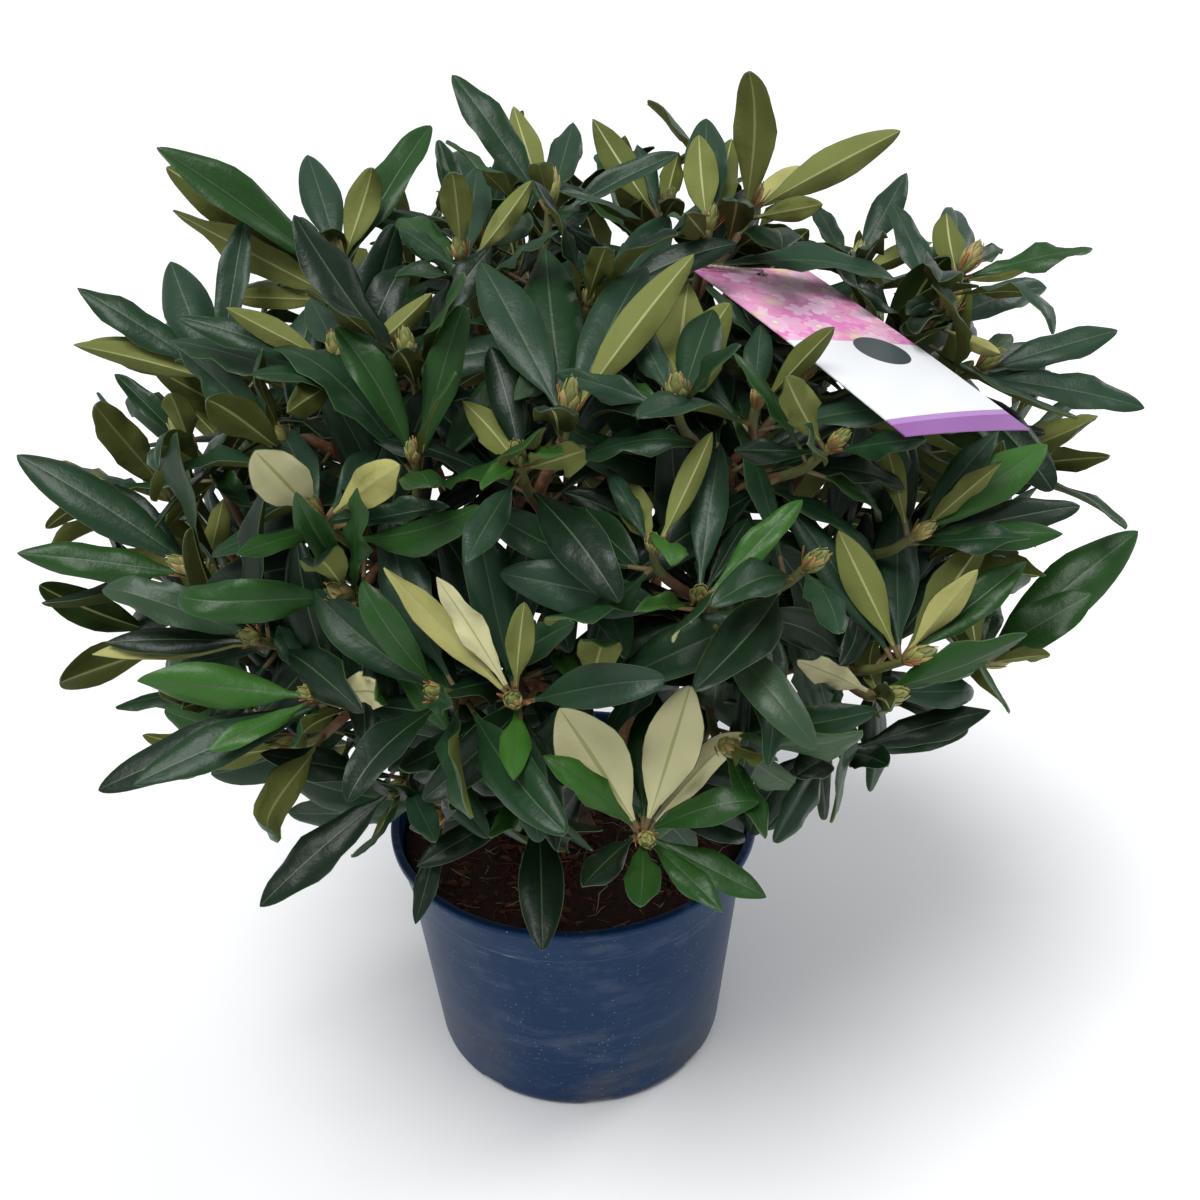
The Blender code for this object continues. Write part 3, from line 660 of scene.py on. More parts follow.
# ---- Leafy shoots ------------------------------------------------------------------------------
# Each bough runs on as a stem with shoots round it, brown and ringed with scars below and olive
# green in this year's growth.  Every shoot ends in a bud inside a whorl of leathery leaves on
# reddish stalks, with a few older, larger and darker leaves lower down.
SEED = 41
TWIG_RADIUS = 0.0033
TWIG_TIP_RADIUS = 0.0023
TWIG_SIDES = 10
TWIG_STEP = 0.0030
TWIG_CRACKS = 0.00025
SIDE_TWIG = 0.86
BROWN_WOOD = 0.42
RED_WOOD = 0.70
GOLDEN_TURN = 137.508
SHOOT_STEPS = 6
CROWN_SHOOTS = 420
SHOOT_APART = 13.0
UNDERSIDE = 0.190
UNDERSIDE_RADIUS = 0.110
UNDERSIDE_SLOPE = 0.82
FRONT_UNDERSIDE = 0.215
FRONT_SLOPE = 0.845
ROOM = 0.008

# The shoots that stand out most: name, the mass each belongs to, and its bud's bearing, rise and
# reach in millimetres.  One with no mass of its own named is the leading shoot of the mass it is
# called after.
OUTER_SHOOTS = {}
for entry in """
    front -7 29 231, front_low 9 10 214, front_high -7 54 256, right_front 47 23 245,
    front_right 34 38 253, right_front_high 46 48 265, right 54 35 258, right_low 73 9 242,
    right_high 93 45 298, left -73 28 230, left_high -93 46 268, front_left_low -37 25 224,
    front_left_high -41 45 246, top -53 78 270, top_right 88 73 278, front_b front -17 29 229,
    high_b front_high 2 59 262, fork right_front 43 20 238, right_b front_right 18 38 247,
    right_c right_front_high 23 58 265, far_right right_high 93 47 320, right_d right_high 89 39 294,
    left_b left_high -56 61 260, crest top 180 84 274, left_crest left_high -116 61 269,
    left_c front_left_high -62 50 240, left_d left -88 38 252, crest_b top 125 74 272,
    behind_label right_high 107 52 285, crest_c top_right 112 66 288, middle front_right 13 44 250,
    front_c front 3 29 214, left_e left -50 28 225, left_f front_left_high -36 38 222,
    middle_b front_left_high -30 55 238, left_g front_left_high -44 66 250,
    by_label right_front_high 41 56 256, hang_left front_left_low -30 10 175,
    hang_front front_low -8 6 150, hang_mid front -24 4 165, fork_low right_low 45 9 200
""".split(","):
    name, *mass, bearing, rise, reach = entry.split()
    OUTER_SHOOTS[name] = ((mass or [name])[0], int(bearing), int(rise), int(reach) / 1000)

own_parts = ["pot", "peat", "trunk", "label", "label_tie"] + ["bough_" + row[0] for row in MASSES]


def mesh_of(things):
    """The points and faces of several objects, counted through."""
    verts = []
    faces = []
    for thing in things:
        first = len(verts)
        verts += [v.co.copy() for v in thing.data.vertices]
        faces += [[first + i for i in p.vertices] for p in thing.data.polygons]
    return verts, faces


fixed = BVHTree.FromPolygons(*mesh_of([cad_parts[name] for name in own_parts]))
aims = {row[0]: towards(row[3], row[4]) for row in MASSES}
reaches = {row[0]: row[5] for row in MASSES}


def stem_line(row):
    """The stem of a mass, from the tip of its bough to its leading bud."""
    aim = towards(row[3], row[4])
    root = HEART + aim * (row[5] - STEM_LENGTH)
    bearing, rise, reach = OUTER_SHOOTS.get(row[0], row[2:])[1:4]
    way = towards(bearing, rise)
    return curve(root, tip_way(aim), HEART + way * reach, way + UP * 0.5, SHOOT_STEPS)


def crown_reach(way):
    """How far the crown's buds stand from its heart in a direction, between the masses'."""
    near = sorted(((way.dot(aim), name) for name, aim in aims.items()), reverse=True)[:3]
    weights = [math.exp((dot - near[0][0]) * 14.0) for dot, _ in near]
    return sum(w * reaches[name] for w, (_, name) in zip(weights, near)) / sum(weights)


def underside(x, y):
    """The height below which the crown's leaves stop: higher outwards, and most of all in front."""
    out = np.hypot(x, y) - UNDERSIDE_RADIUS
    low = UNDERSIDE + UNDERSIDE_SLOPE * np.maximum(out, 0.0)
    front = FRONT_UNDERSIDE + FRONT_SLOPE * (-y - UNDERSIDE_RADIUS)
    return np.where(y < 0.0, np.maximum(low, front), low)


def shoot_tips(dice):
    """The mass and the tip of every shoot: the leading ones, then others evenly between them."""
    tips = [(row[0], stems[row[0]][-1]) for row in MASSES]
    for name, (mass, bearing, rise, reach) in OUTER_SHOOTS.items():
        if name != mass:
            tips.append((mass, HEART + towards(bearing, rise) * reach))
    for i in range(CROWN_SHOOTS):
        rise = math.degrees(math.asin(1.0 - (i + 0.5) / CROWN_SHOOTS * 1.36)) + dice.uniform(-3.0, 3.0)
        way = towards(i * GOLDEN_TURN + dice.uniform(-3.0, 3.0), rise)
        apart = min((tip - HEART).angle(way) for _, tip in tips)
        if apart < math.radians(SHOOT_APART):
            continue
        tip = HEART + way * crown_reach(way) * dice.uniform(0.84, 1.0)
        if tip.z < underside(tip.x, tip.y) + 0.015:
            continue
        name = max(aims, key=lambda n: aims[n].dot(way))
        tips.append((name, tip))
    return tips


def shoot_line(name, tip, stem):
    """A shoot from the stem of its mass to its bud, leaving lower down the wider it spreads."""
    way = (tip - HEART).normalized()
    spread = math.degrees(way.angle(aims[name]))
    share = min(max(0.62 - spread * 0.022, 0.04), 0.62)
    start, along = along_line(stem, share)
    if (tip - start).length < 0.035:
        start, along = along_line(stem, 0.04)
    return curve(start, along * 0.6 + (tip - start).normalized(), tip, way + UP * 0.5, SHOOT_STEPS)


dice = random.Random(SEED)
stems = {row[0]: stem_line(row) for row in MASSES}
tips = shoot_tips(dice)
shoots = []
for n, (name, tip) in enumerate(tips):
    line = stems[name] if n < len(MASSES) else shoot_line(name, tip, stems[name])
    shoots.append((name, line))


def leaf_skin(name, colour, roughness, specular=0.5):
    """A leathery leaf finish of one colour with a fine pebbled grain."""
    f = Finish(name, Base_Color=colour, Roughness=roughness, Specular_IOR_Level=specular)
    f.relief(f.plus(f.times(f.noise(700.0, 3.0), 0.35), f.noise(150.0)), 0.0007, 0.6)
    return f.made


twig_green = leaf_skin("shoot_olive", (0.110, 0.120, 0.036), 0.5)
twig_red = leaf_skin("shoot_reddish", (0.130, 0.070, 0.034), 0.6)
twigs = Heap()
wood_proxy = []
for n, (name, line) in enumerate(shoots):
    thick = TWIG_RADIUS if n < len(MASSES) else TWIG_RADIUS * SIDE_TWIG
    fine = smoothed(line, TWIG_STEP)
    rows = round_limb(fine, np.linspace(thick, TWIG_TIP_RADIUS, len(fine)), TWIG_SIDES)
    rows = barked(rows, fine, TWIG_CRACKS, n * 0.9)
    kinds = np.zeros(len(sleeve(len(fine), TWIG_SIDES)), int)
    kinds[int(len(fine) * BROWN_WOOD) * TWIG_SIDES:] = 1
    kinds[int(len(fine) * RED_WOOD) * TWIG_SIDES:] = 2
    twigs.add(rows, kinds)
    wood_proxy.append(round_limb(line, [thick] * len(line), 4))
twigs = twigs.piece("leafy_shoots", [bark_high, twig_red, twig_green])
foliage_nodes = ["foliage_" + row[0] for row in MASSES]
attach(twigs, "root")
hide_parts(*foliage_nodes)

# The leaves: thick blades, oblong and pointed, with a sunken pale midrib above and a raised one
# below, a thin pale edge, and side veins that slant forward as shallow folds.
TOP_ACROSS = np.array((-1.0, -0.972, -0.5, -0.035, 0.035, 0.5, 0.972, 1.0))
UNDER_ACROSS = np.array((0.968, 0.5, 0.06, -0.06, -0.5, -0.968))
LEAF_ROWS = 15
STALK_ROWS = (0.0, 0.5, 0.9)
LEAF_THICKNESS = 0.0010
VEIN_SLANT = 0.055
VEIN_FOLD = 0.00022
STALK_RADIUS = 0.0012
AROUND = len(TOP_ACROSS) + len(UNDER_ACROSS)
ACROSS = np.concatenate([TOP_ACROSS, UNDER_ACROSS])
IS_TOP = np.arange(AROUND) < len(TOP_ACROSS)
TURNED = np.arange(AROUND) / 7.0
STALK_TURN = np.where(IS_TOP, np.pi * (1.0 - TURNED), -np.pi * (np.arange(AROUND) - 7.0) / 7.0)
SLEEVE_ROWS = LEAF_ROWS + len(STALK_ROWS)
LEAF_FACES = sleeve(SLEEVE_ROWS, AROUND)
for k in range(len(TOP_ACROSS), AROUND - 1):
    strip = slice(k, (SLEEVE_ROWS - 1) * AROUND, AROUND)
    LEAF_FACES[strip] = np.roll(LEAF_FACES[strip], -1, axis=1)
STALK, EDGE, RIB, UNDER_RIB, TOP, UNDER = range(6)
STRIPS = (EDGE, TOP, TOP, RIB, TOP, TOP, EDGE, EDGE, UNDER, UNDER, UNDER_RIB, UNDER, UNDER, EDGE)


def leaf_points(root, way, face, stalk, blade, shape):
    """The points of one leaf, sleeve row by row from its root to its tip."""
    side = unit(np.cross(way, face))
    up = np.cross(side, way)
    t = np.linspace(0.0, 1.0, 33)
    fall = shape["bend"] * t ** shape["bend_power"]
    swing = shape["sway"] * t
    cf, sf, cs, ss = np.cos(fall), np.sin(fall), np.cos(swing), np.sin(swing)
    along = (cf * cs)[:, None] * way - sf[:, None] * up + (cf * ss)[:, None] * side
    heel = root + way * stalk
    steps = (along[1:] + along[:-1]) * 0.5 * blade / 32.0
    centre = np.concatenate([[heel], heel + np.cumsum(steps, 0)])
    normal = sf[:, None] * way + cf[:, None] * up
    normal -= along * np.sum(normal * along, 1)[:, None]
    normal /= np.linalg.norm(normal, axis=1)[:, None]
    across = np.cross(along, normal)
    turn = (shape["twist"] * t ** 1.3)[:, None]
    ct, st = np.cos(turn), np.sin(turn)
    across, normal = across * ct + normal * st, normal * ct - across * st

    rows = np.sin(np.pi * 0.5 * np.arange(LEAF_ROWS) / (LEAF_ROWS - 1)) ** 1.12
    u = ACROSS[None, :]
    far = np.abs(u)
    row = rows[:, None]
    place = np.clip(row + VEIN_SLANT * far * 4.0 * row * (1.0 - row) ** 0.8, 0.0, 1.0)
    half = shape["width"] * 0.5 * np.sin(np.pi * place ** 1.16) ** (1.05 - shape["blunt"] * place)
    half = np.maximum(np.nan_to_num(half), 0.0003)
    keel, roll = shape["keel"], shape["roll"]
    x = u * half * (1.0 - 0.16 * keel * keel - 0.12 * roll * roll * far ** 2)
    z = half * (keel * far - roll * far ** 3)
    phase = np.where(u > 0, shape["phase"], shape["phase"] + 2.2)
    swell = np.sin(np.pi * place)
    z = z + shape["wave"] * np.sin(2.0 * np.pi * shape["waves"] * place + phase) * far ** 2 * swell
    fold = (1.0 - 2.0 * (np.arange(LEAF_ROWS) % 2))[:, None]
    z = z + VEIN_FOLD * swell * (np.abs(far - 0.5) < 0.1) * fold
    thick = LEAF_THICKNESS * 0.5 * (1.0 - 0.5 * far ** 3)
    z = z + np.where(IS_TOP, thick, -thick)
    z = z - np.where(IS_TOP & (far < 0.06), 0.0004 * (1.0 - place), 0.0)
    z = z - np.where(~IS_TOP & (far < 0.08), 0.0003 + 0.0009 * (1.0 - place) ** 0.8, 0.0)
    stalk_like = np.clip(1.0 - row / 0.10, 0.0, 1.0)
    x = x * (1.0 - stalk_like) + stalk_like * STALK_RADIUS * np.cos(STALK_TURN)
    z = z * (1.0 - stalk_like) + stalk_like * STALK_RADIUS * 0.8 * np.sin(STALK_TURN)

    def read(values):
        columns = [np.interp(place.ravel(), t, values[:, i]) for i in range(3)]
        return np.stack(columns, 1).reshape(*place.shape, 3)

    points = read(centre) + read(across) * x[..., None] + read(normal) * z[..., None]
    ring = np.cos(STALK_TURN)[:, None] * side + 0.8 * np.sin(STALK_TURN)[:, None] * up
    stem = [root + way * stalk * s + ring * STALK_RADIUS * (1.25 - 0.3 * s) for s in STALK_ROWS]
    return np.concatenate([np.array(stem), points])


# What the clash tests take for a leaf: its blade's skin from this row on, and a coarse sheet of it,
# the two edges and the midrib at every other row.
BLADE_FROM = 5
BLADE_FACES = sleeve(SLEEVE_ROWS - BLADE_FROM, AROUND).tolist()


def sheet_of(points):
    rows = points[BLADE_FROM::2]
    sheet = rows[:, (0, 3, 7)]
    n = len(sheet)
    corners = [r * 3 + k for r in range(n - 1) for k in range(2)]
    faces = [(a, a + 1, a + 4, a + 3) for a in corners]
    return sheet.reshape(-1, 3), faces


lowest = np.array(cad_box[0]) - ROOM
highest = np.array(cad_box[1]) + ROOM
limbs_verts = []
limbs_faces = []
for rows in wood_proxy:
    faces = sleeve(len(rows), 4) + len(limbs_verts)
    limbs_verts += [Vector(p) for p in rows.reshape(-1, 3)]
    limbs_faces += faces.tolist()
limbs = BVHTree.FromPolygons(limbs_verts, limbs_faces)

# Where the label hangs, and how far before its face no leaf may grow, so that its picture shows.
card_frame = np.array([(0.858, 0.471, -0.205), (0.462, -0.877, -0.148), (-0.14, -0.75, 0.31)]).T
card_corner = np.array((0.0724, -0.0050, 0.5167))
card_size = (0.078, 0.180)
CARD_CLEAR = 0.35


def hides_label(sheet):
    """Which points stand in front of the label's face."""
    u, v, w = np.linalg.solve(card_frame, (sheet - card_corner).T)
    inside = (u > 0.006) & (u < card_size[0]) & (v > 0.012) & (v < card_size[1])
    return inside & (w > 0.0) & (w < CARD_CLEAR)


# The leaves of the table stay in sight from here: the others keep out of the space before them,
# up to the last of these distances.
FRONT_VIEW = np.array((0.0, -0.80, 0.79))
VIEW_STEPS = (0.012, 0.03, 0.05, 0.08, 0.12, 0.17, 0.22)


class Crown:
    """Every blade placed so far, to keep the next one clear of them."""

    def __init__(self):
        self.skins = []
        self.middles = np.zeros((0, 3))
        self.sizes = np.zeros(0)
        self.views = []

    def clear(self, sheet, tree, standing):
        """Whether a sheet has room; a leaf of the table need only clear solid things and leaves."""
        low, high = sheet.min(0), sheet.max(0)
        if (low < lowest).any() or (high > highest).any():
            return False
        if fixed.overlap(tree) or limbs.overlap(tree):
            return False
        if not standing:
            if (sheet[:, 2] < underside(sheet[:, 0], sheet[:, 1])).any() or hides_label(sheet).any():
                return False
            for least, most, view in self.views:
                if (low < most).all() and (high > least).all() and view.overlap(tree):
                    return False
        return not self.crossed(sheet, tree)

    def crossed(self, sheet, tree):
        """Whether a blade with this sheet and this skin passes through one placed before."""
        middle = sheet.mean(0)
        size = np.linalg.norm(sheet - middle, axis=1).max()
        near = np.linalg.norm(self.middles - middle, axis=1) < self.sizes + size
        return any(self.skins[i].overlap(tree) for i in np.nonzero(near)[0])

    def keep_view(self, sheet):
        """Keeps the space between a blade and the front open, up to a hand's breadth and more."""
        rows = sheet.reshape(-1, 3, 3)[1:-1]
        rows = rows[:, 1:2] + (rows - rows[:, 1:2]) * 0.7
        rim = np.concatenate([rows[:, 0], rows[::-1, 2]])
        count = len(rim)
        verts = []
        faces = []
        for i, far in enumerate(VIEW_STEPS):
            ahead = FRONT_VIEW - rim
            ring = rim + ahead / np.linalg.norm(ahead, axis=1)[:, None] * far
            verts += ring.tolist()
            a = i * count
            faces += [[a + k, a + k + 1, a + count - 2 - k, a + count - 1 - k]
                      for k in range(count // 2 - 1)]
            if i:
                faces += [[a + k, a + (k + 1) % count, a - count + (k + 1) % count, a - count + k]
                          for k in range(count)]
        points = np.array(verts)
        self.views.append((points.min(0), points.max(0), BVHTree.FromPolygons(verts, faces)))

    def keep(self, sheet, skin):
        middle = sheet.mean(0)
        self.skins.append(skin)
        self.middles = np.vstack([self.middles, middle])
        self.sizes = np.append(self.sizes, np.linalg.norm(sheet - middle, axis=1).max())


TOPS = (
    (0.0105, 0.0380, 0.0130), (0.0170, 0.0460, 0.0225), (0.0045, 0.0170, 0.0062),
    (0.0150, 0.0580, 0.0095), (0.0320, 0.1100, 0.0140), (0.0320, 0.0640, 0.0320),
)
UNDERS = (
    (0.108, 0.124, 0.030), (0.172, 0.192, 0.052), (0.058, 0.068, 0.018),
    (0.390, 0.380, 0.130), (0.570, 0.545, 0.305), (0.035, 0.060, 0.014),
)
leaf_finishes = [
    leaf_skin("leaf_stalk", (0.150, 0.105, 0.040), 0.5),
    leaf_skin("leaf_edge", (0.045, 0.088, 0.022), 0.5),
    leaf_skin("midrib_above", (0.040, 0.076, 0.030), 0.45),
    leaf_skin("midrib_below", (0.340, 0.350, 0.130), 0.5),
]
leaf_finishes += [leaf_skin(f"leaf_above_{i + 1}", c, 0.38, 0.26) for i, c in enumerate(TOPS)]
leaf_finishes += [leaf_skin(f"leaf_below_{i + 1}", c, 0.66, 0.12) for i, c in enumerate(UNDERS)]


def leaf_kinds(top, under):
    """The finish of each face of a leaf with these upper and lower colours."""
    finish = {TOP: TOP + top, UNDER: TOP + len(TOPS) + under}
    strips = [finish.get(strip, strip) for strip in STRIPS]
    rows = [[STALK] * AROUND] * len(STALK_ROWS) + [strips] * (LEAF_ROWS - 1)
    ends = [[STALK] * (AROUND // 2 - 1), [EDGE] * (AROUND // 2 - 1)]
    return np.array([kind for row in rows + ends for kind in row])


# The build of a leaf, drawn evenly between two ends, or about 0 with the spread that is given alone.
# width is a share of the blade's length, blunt how full its end is, bend and twist its whole turn
# along and about itself in radians, sway its turn sideways, keel its fold along the midrib, and roll
# and wave what its edges do.
LEAF_BUILD = {
    "width": (0.25, 0.32), "blunt": (0.32, 0.68), "bend": (0.0, 0.5), "bend_power": (1.0, 2.2),
    "twist": (0.35,), "sway": (0.16,), "keel": (0.18, 0.62), "roll": (0.22, 0.70),
    "wave": (0.0010, 0.0042), "waves": (1.4, 3.4), "phase": (0.0, 6.28),
}
STANDING_BUILD = {
    "blunt": (0.22, 0.50), "bend": (0.10, 0.35), "bend_power": (1.2, 2.0), "twist": (-0.12, 0.12),
    "sway": (-0.10, 0.10), "keel": (0.18, 0.45), "roll": (0.22, 0.60), "wave": (0.0014, 0.0034),
    "waves": (1.2, 3.0), "phase": (0.0, 6.28),
}


def drawn_build(dice, build):
    return {key: dice.uniform(*ends) if len(ends) == 2 else dice.gauss(0.0, *ends)
            for key, ends in build.items()}


def leaf_shape(dice, age, blade):
    """The build of one leaf: age runs from 0, the youngest in a whorl, to 1 and over for old ones."""
    habit = dice.random()
    shape = drawn_build(dice, LEAF_BUILD)
    shape["width"] *= blade
    shape["bend"] += 0.3 * age
    if habit < 0.16:
        shape.update(bend=dice.uniform(0.9, 1.5), bend_power=2.6)
    elif habit < 0.34:
        shape["keel"] = dice.uniform(0.5, 0.85)
        shape["width"] *= 1.05
    elif habit < 0.46:
        shape["twist"] = dice.choice((-1.0, 1.0)) * dice.uniform(0.7, 1.3)
    elif habit < 0.54:
        shape["bend"] = -dice.uniform(0.1, 0.5)
    return shape


# The leaves that stand out most, shoot by shoot: how far in millimetres each is set back from the
# bud, the bearing and rise of its tip from its root, its length in millimetres and its width in
# hundredths of its blade; then whether its top (T) or its underside (U) faces front, how it lies
# (f flat, r folded, c curled, w wavy, t twisted), and its upper and lower colours.
STANDING_LEAVES = {}
for entry in """
    crest: 6 -136 42 92 30 Tf01, 8 -164 35 77 30 Uf31, 3 166 24 70 36 Tf10, 2 -5 37 57 36 Ur01,
      9 103 23 77 28 Tr10, 6 22 15 56 32 Tf10;
    top: 3 -2 65 56 40 Uc41, 6 125 38 57 34 Ur41, 8 -141 9 57 30 Tf00, 10 -35 18 57 32 Tr00,
      6 175 20 86 30 Tf10;
    left_crest: 12 -99 39 120 30 Tr31, 10 -107 30 114 34 Ur30, 24 -102 27 107 30 Ut21,
      4 129 64 58 46 Uc31, 4 -165 28 90 34 Tf10, 6 150 33 109 30 Tr31, 22 -99 13 71 26 Uf41;
    left_b: 8 -98 18 84 26 Tf01, 4 -91 23 61 34 Ur01, 3 -162 12 64 36 Tf10, 8 121 28 59 30 Ur41,
      10 -21 6 57 40 Uf20;
    left_high: 6 -111 29 90 30 Tf00, 9 -93 19 80 28 Ur41, 8 -101 21 77 36 Ur01, 3 -155 27 87 42 Tf10,
      6 165 39 91 28 Tr11;
    left_d: 4 -117 36 62 30 Tr01, 2 -2 55 57 44 Uf01, 8 33 -7 57 32 Tf31;
    left: 6 -111 30 117 31 Tf01, 4 -128 23 89 30 Tf21, 8 -89 14 98 28 Tw31, 6 178 17 59 34 Uf41,
      10 -108 9 62 24 Ur33;
    left_e: 8 -93 3 79 28 Tf20, 10 -88 1 86 22 Ut23, 16 -97 -16 56 34 Tw10;
    front_left_low: 6 -56 -8 58 32 Tf41, 8 -90 8 87 34 Tt41, 6 35 25 57 46 Uc44, 14 -77 -14 116 28 Tf20,
      16 -66 -10 99 30 Tf00, 3 -153 9 56 34 Tr10;
    front_left_high: 3 -35 53 62 58 Uf04, 4 57 40 62 44 Uw43, 5 157 15 56 32 Tr10, 5 -159 17 73 36 Tf10,
      9 -41 10 56 34 Tf31, 10 83 10 59 34 Tr01;
    left_f: 2 -9 40 57 50 Uc21;
    hang_left: 4 -63 -28 93 32 Tf20, 5 20 2 56 36 Tf10, 9 -83 17 74 32 Tf20;
    hang_front: 4 -61 -15 69 34 Tf20, 3 -23 16 57 34 Tw41, 9 1 -25 84 36 Tf20;
    hang_mid: 3 -23 -50 58 30 Tf20;
    front_low: 3 -115 58 75 62 Uf04, 3 131 63 76 48 Uw04, 5 111 38 69 32 Uc04, 6 171 24 78 40 Tf31,
      6 -2 5 58 42 Tf31, 7 -94 47 65 34 Tc43, 7 80 23 62 38 Tc33, 10 36 -9 60 34 Tf31,
      12 62 -18 67 36 Tf31, 12 -32 9 57 40 Tf20;
    front: 3 -120 58 67 30 Uw44, 5 -121 36 86 24 Ut43, 3 34 81 56 34 Uf21, 8 0 -2 57 36 Tf41;
    front_c: 2 9 52 57 50 Uc41, 5 -164 -9 57 30 Tr41;
    right_b: 4 169 37 81 28 Tf10, 6 149 20 56 28 Tr20, 8 118 33 68 30 Tr41, 12 -9 24 57 70 Uf04,
      6 -38 24 57 26 Tr41;
    middle: 2 -169 8 57 40 Uf41, 4 2 21 57 44 Uc41, 4 137 43 62 30 Ur41, 6 -162 8 57 26 Tf10;
    front_high: 3 23 27 57 26 Tr41, 3 -16 15 58 26 Tr41, 6 34 27 56 46 Uw01, 8 -26 -16 62 38 Tf10,
      6 -148 18 57 40 Uc41;
    high_b: 8 -154 31 100 33 Tf10, 8 -174 33 112 34 Tf00, 8 154 28 99 34 Tf10, 6 133 37 101 26 Ur41;
    right_c: 6 -77 23 62 30 Tw10, 8 -142 3 56 26 Tw31, 6 -163 23 63 34 Tf10, 6 162 21 70 40 Tf00,
      5 39 46 56 38 Tr01, 3 154 17 83 42 Uc01, 4 174 19 93 36 Uf01;
    right_front_high: 4 -47 53 57 46 Uw41, 6 47 21 57 34 Tw00, 5 -57 15 56 30 Tw20;
    by_label: 3 74 52 56 34 Ur40, 5 172 31 56 36 Tf10;
    top_right: 3 -176 45 57 46 Uf01, 6 176 40 81 38 Tf10, 6 162 34 75 32 Uf30, 6 -16 30 57 40 Uf20;
    crest_b: 3 167 23 56 36 Ur20, 6 -141 38 72 34 Uf30, 4 4 26 56 36 Uf20, 6 -167 28 59 34 Tf10;
    crest_c: 4 108 22 95 30 Ur11, 5 141 13 56 36 Ur03, 8 37 20 57 32 Uf11;
    behind_label: 4 142 35 72 34 Tf10, 6 117 10 57 34 Ur01, 5 -164 28 57 32 Tf10;
    far_right: 3 144 -2 56 34 Tr01, 6 94 9 74 30 Tw31, 8 112 3 56 30 Ur01, 5 177 20 57 44 Uf00;
    right_high: 4 -33 17 57 40 Tc21, 6 -166 39 76 30 Tf10, 8 22 3 56 24 Ur03;
    right_d: 6 95 11 82 34 Tf10, 8 79 -6 94 30 Tf10, 5 146 2 56 36 Tf31, 6 97 -11 56 34 Tr01;
    right: 5 131 29 75 28 Tf01, 6 116 26 90 34 Tf41, 4 103 23 57 30 Ur41, 8 104 2 95 28 Tf20,
      8 86 4 75 30 Tf31, 10 66 4 61 36 Tw01, 5 -175 37 57 30 Uf01;
    right_front: 4 -125 60 72 36 Uf01, 5 178 41 93 34 Tf10, 5 122 48 75 38 Ur40, 6 107 34 79 38 Tr31,
      6 94 45 60 36 Ur03, 8 -136 46 92 28 Tf10;
    fork: 3 -69 37 57 36 Uw04, 4 170 13 57 40 Uc00;
    right_low: 6 109 31 116 36 Tf31, 8 92 27 75 46 Tf31, 2 28 31 57 26 Ur01, 3 -33 64 57 36 Uf00,
      4 154 14 56 36 Tf10;
    fork_low: 3 95 12 79 32 Tf20, 6 19 27 57 44 Tf20, 8 -30 18 57 44 Tf20
""".split(";"):
    name, cells = entry.split(":")
    STANDING_LEAVES[name.strip()] = [cell.split() for cell in cells.split(",")]

crown = Crown()
leaves = {}


def put_leaf(group, root, way, face, stalk, blade, shape, top, under, sure=False, standing=False):
    """Adds a leaf to its group if it is clear of everything, or in any case if sure."""
    points = leaf_points(np.array(root), np.array(way), np.array(face), stalk, blade, shape)
    sheet, faces = sheet_of(points)
    tree = BVHTree.FromPolygons(sheet.tolist(), faces)
    if not sure and not crown.clear(sheet, tree, standing):
        return False
    skin = BVHTree.FromPolygons(points[BLADE_FROM:].reshape(-1, 3).tolist(), BLADE_FACES)
    if not sure and crown.crossed(sheet, skin):
        return False
    crown.keep(sheet, skin)
    if standing:
        crown.keep_view(sheet)
    leaves.setdefault(group, Heap()).add(points, leaf_kinds(top, under), LEAF_FACES)
    return True


# The ways in which a growing leaf is tried: shorter, closer to its shoot or turned round it.
TRIES = [(shorter, close, shift) for shorter in (1.0, 0.86, 0.72)
         for close in (0.0, -0.22, 0.22, -0.42) for shift in (0.0, 0.25, -0.25, 0.5, -0.5)]


def grow_leaf(dice, group, line, back, turn, angle, blade, age, top, under, lift):
    """A leaf set back from the tip of a shoot, in the first of its ways that is free."""
    length = sum((b - a).length for a, b in zip(line, line[1:]))
    root, axis = along_line(line, max(0.05, 1.0 - back / length))
    across = axis.orthogonal().normalized()
    other = axis.cross(across)
    shape = leaf_shape(dice, age, blade)
    stalk = 0.007 + 0.006 * min(age, 1.0) + dice.uniform(-0.001, 0.002)
    for shorter, close, shift in TRIES:
        a = angle + close
        out = across * math.cos(turn + shift) + other * math.sin(turn + shift)
        way = axis * math.cos(a) + out * math.sin(a)
        face = (axis * math.sin(a) - out * math.cos(a)).lerp(UP, lift)
        if way.z < -0.85 or abs(face.normalized().dot(way)) > 0.94:
            continue
        shape_now = dict(shape, width=shape["width"] * shorter)
        if put_leaf(group, root, way, face, stalk, blade * shorter, shape_now, top, under):
            return


# The way a leaf of the table shows its top or its underside; then the turns in degrees that it is
# tried at, and last its own place again, for sure, if none of them is free.
SHOWN = Vector((0.0, -0.86, 0.5))
NUDGES = [(lean, lift, False)
          for lean in (0, 4, -4, 8, -8, 13, -13) for lift in (0, 3, -3, 7, -7, 12, -12)]
NUDGES.append((0, 0, True))
STANDING_STALK = 0.009


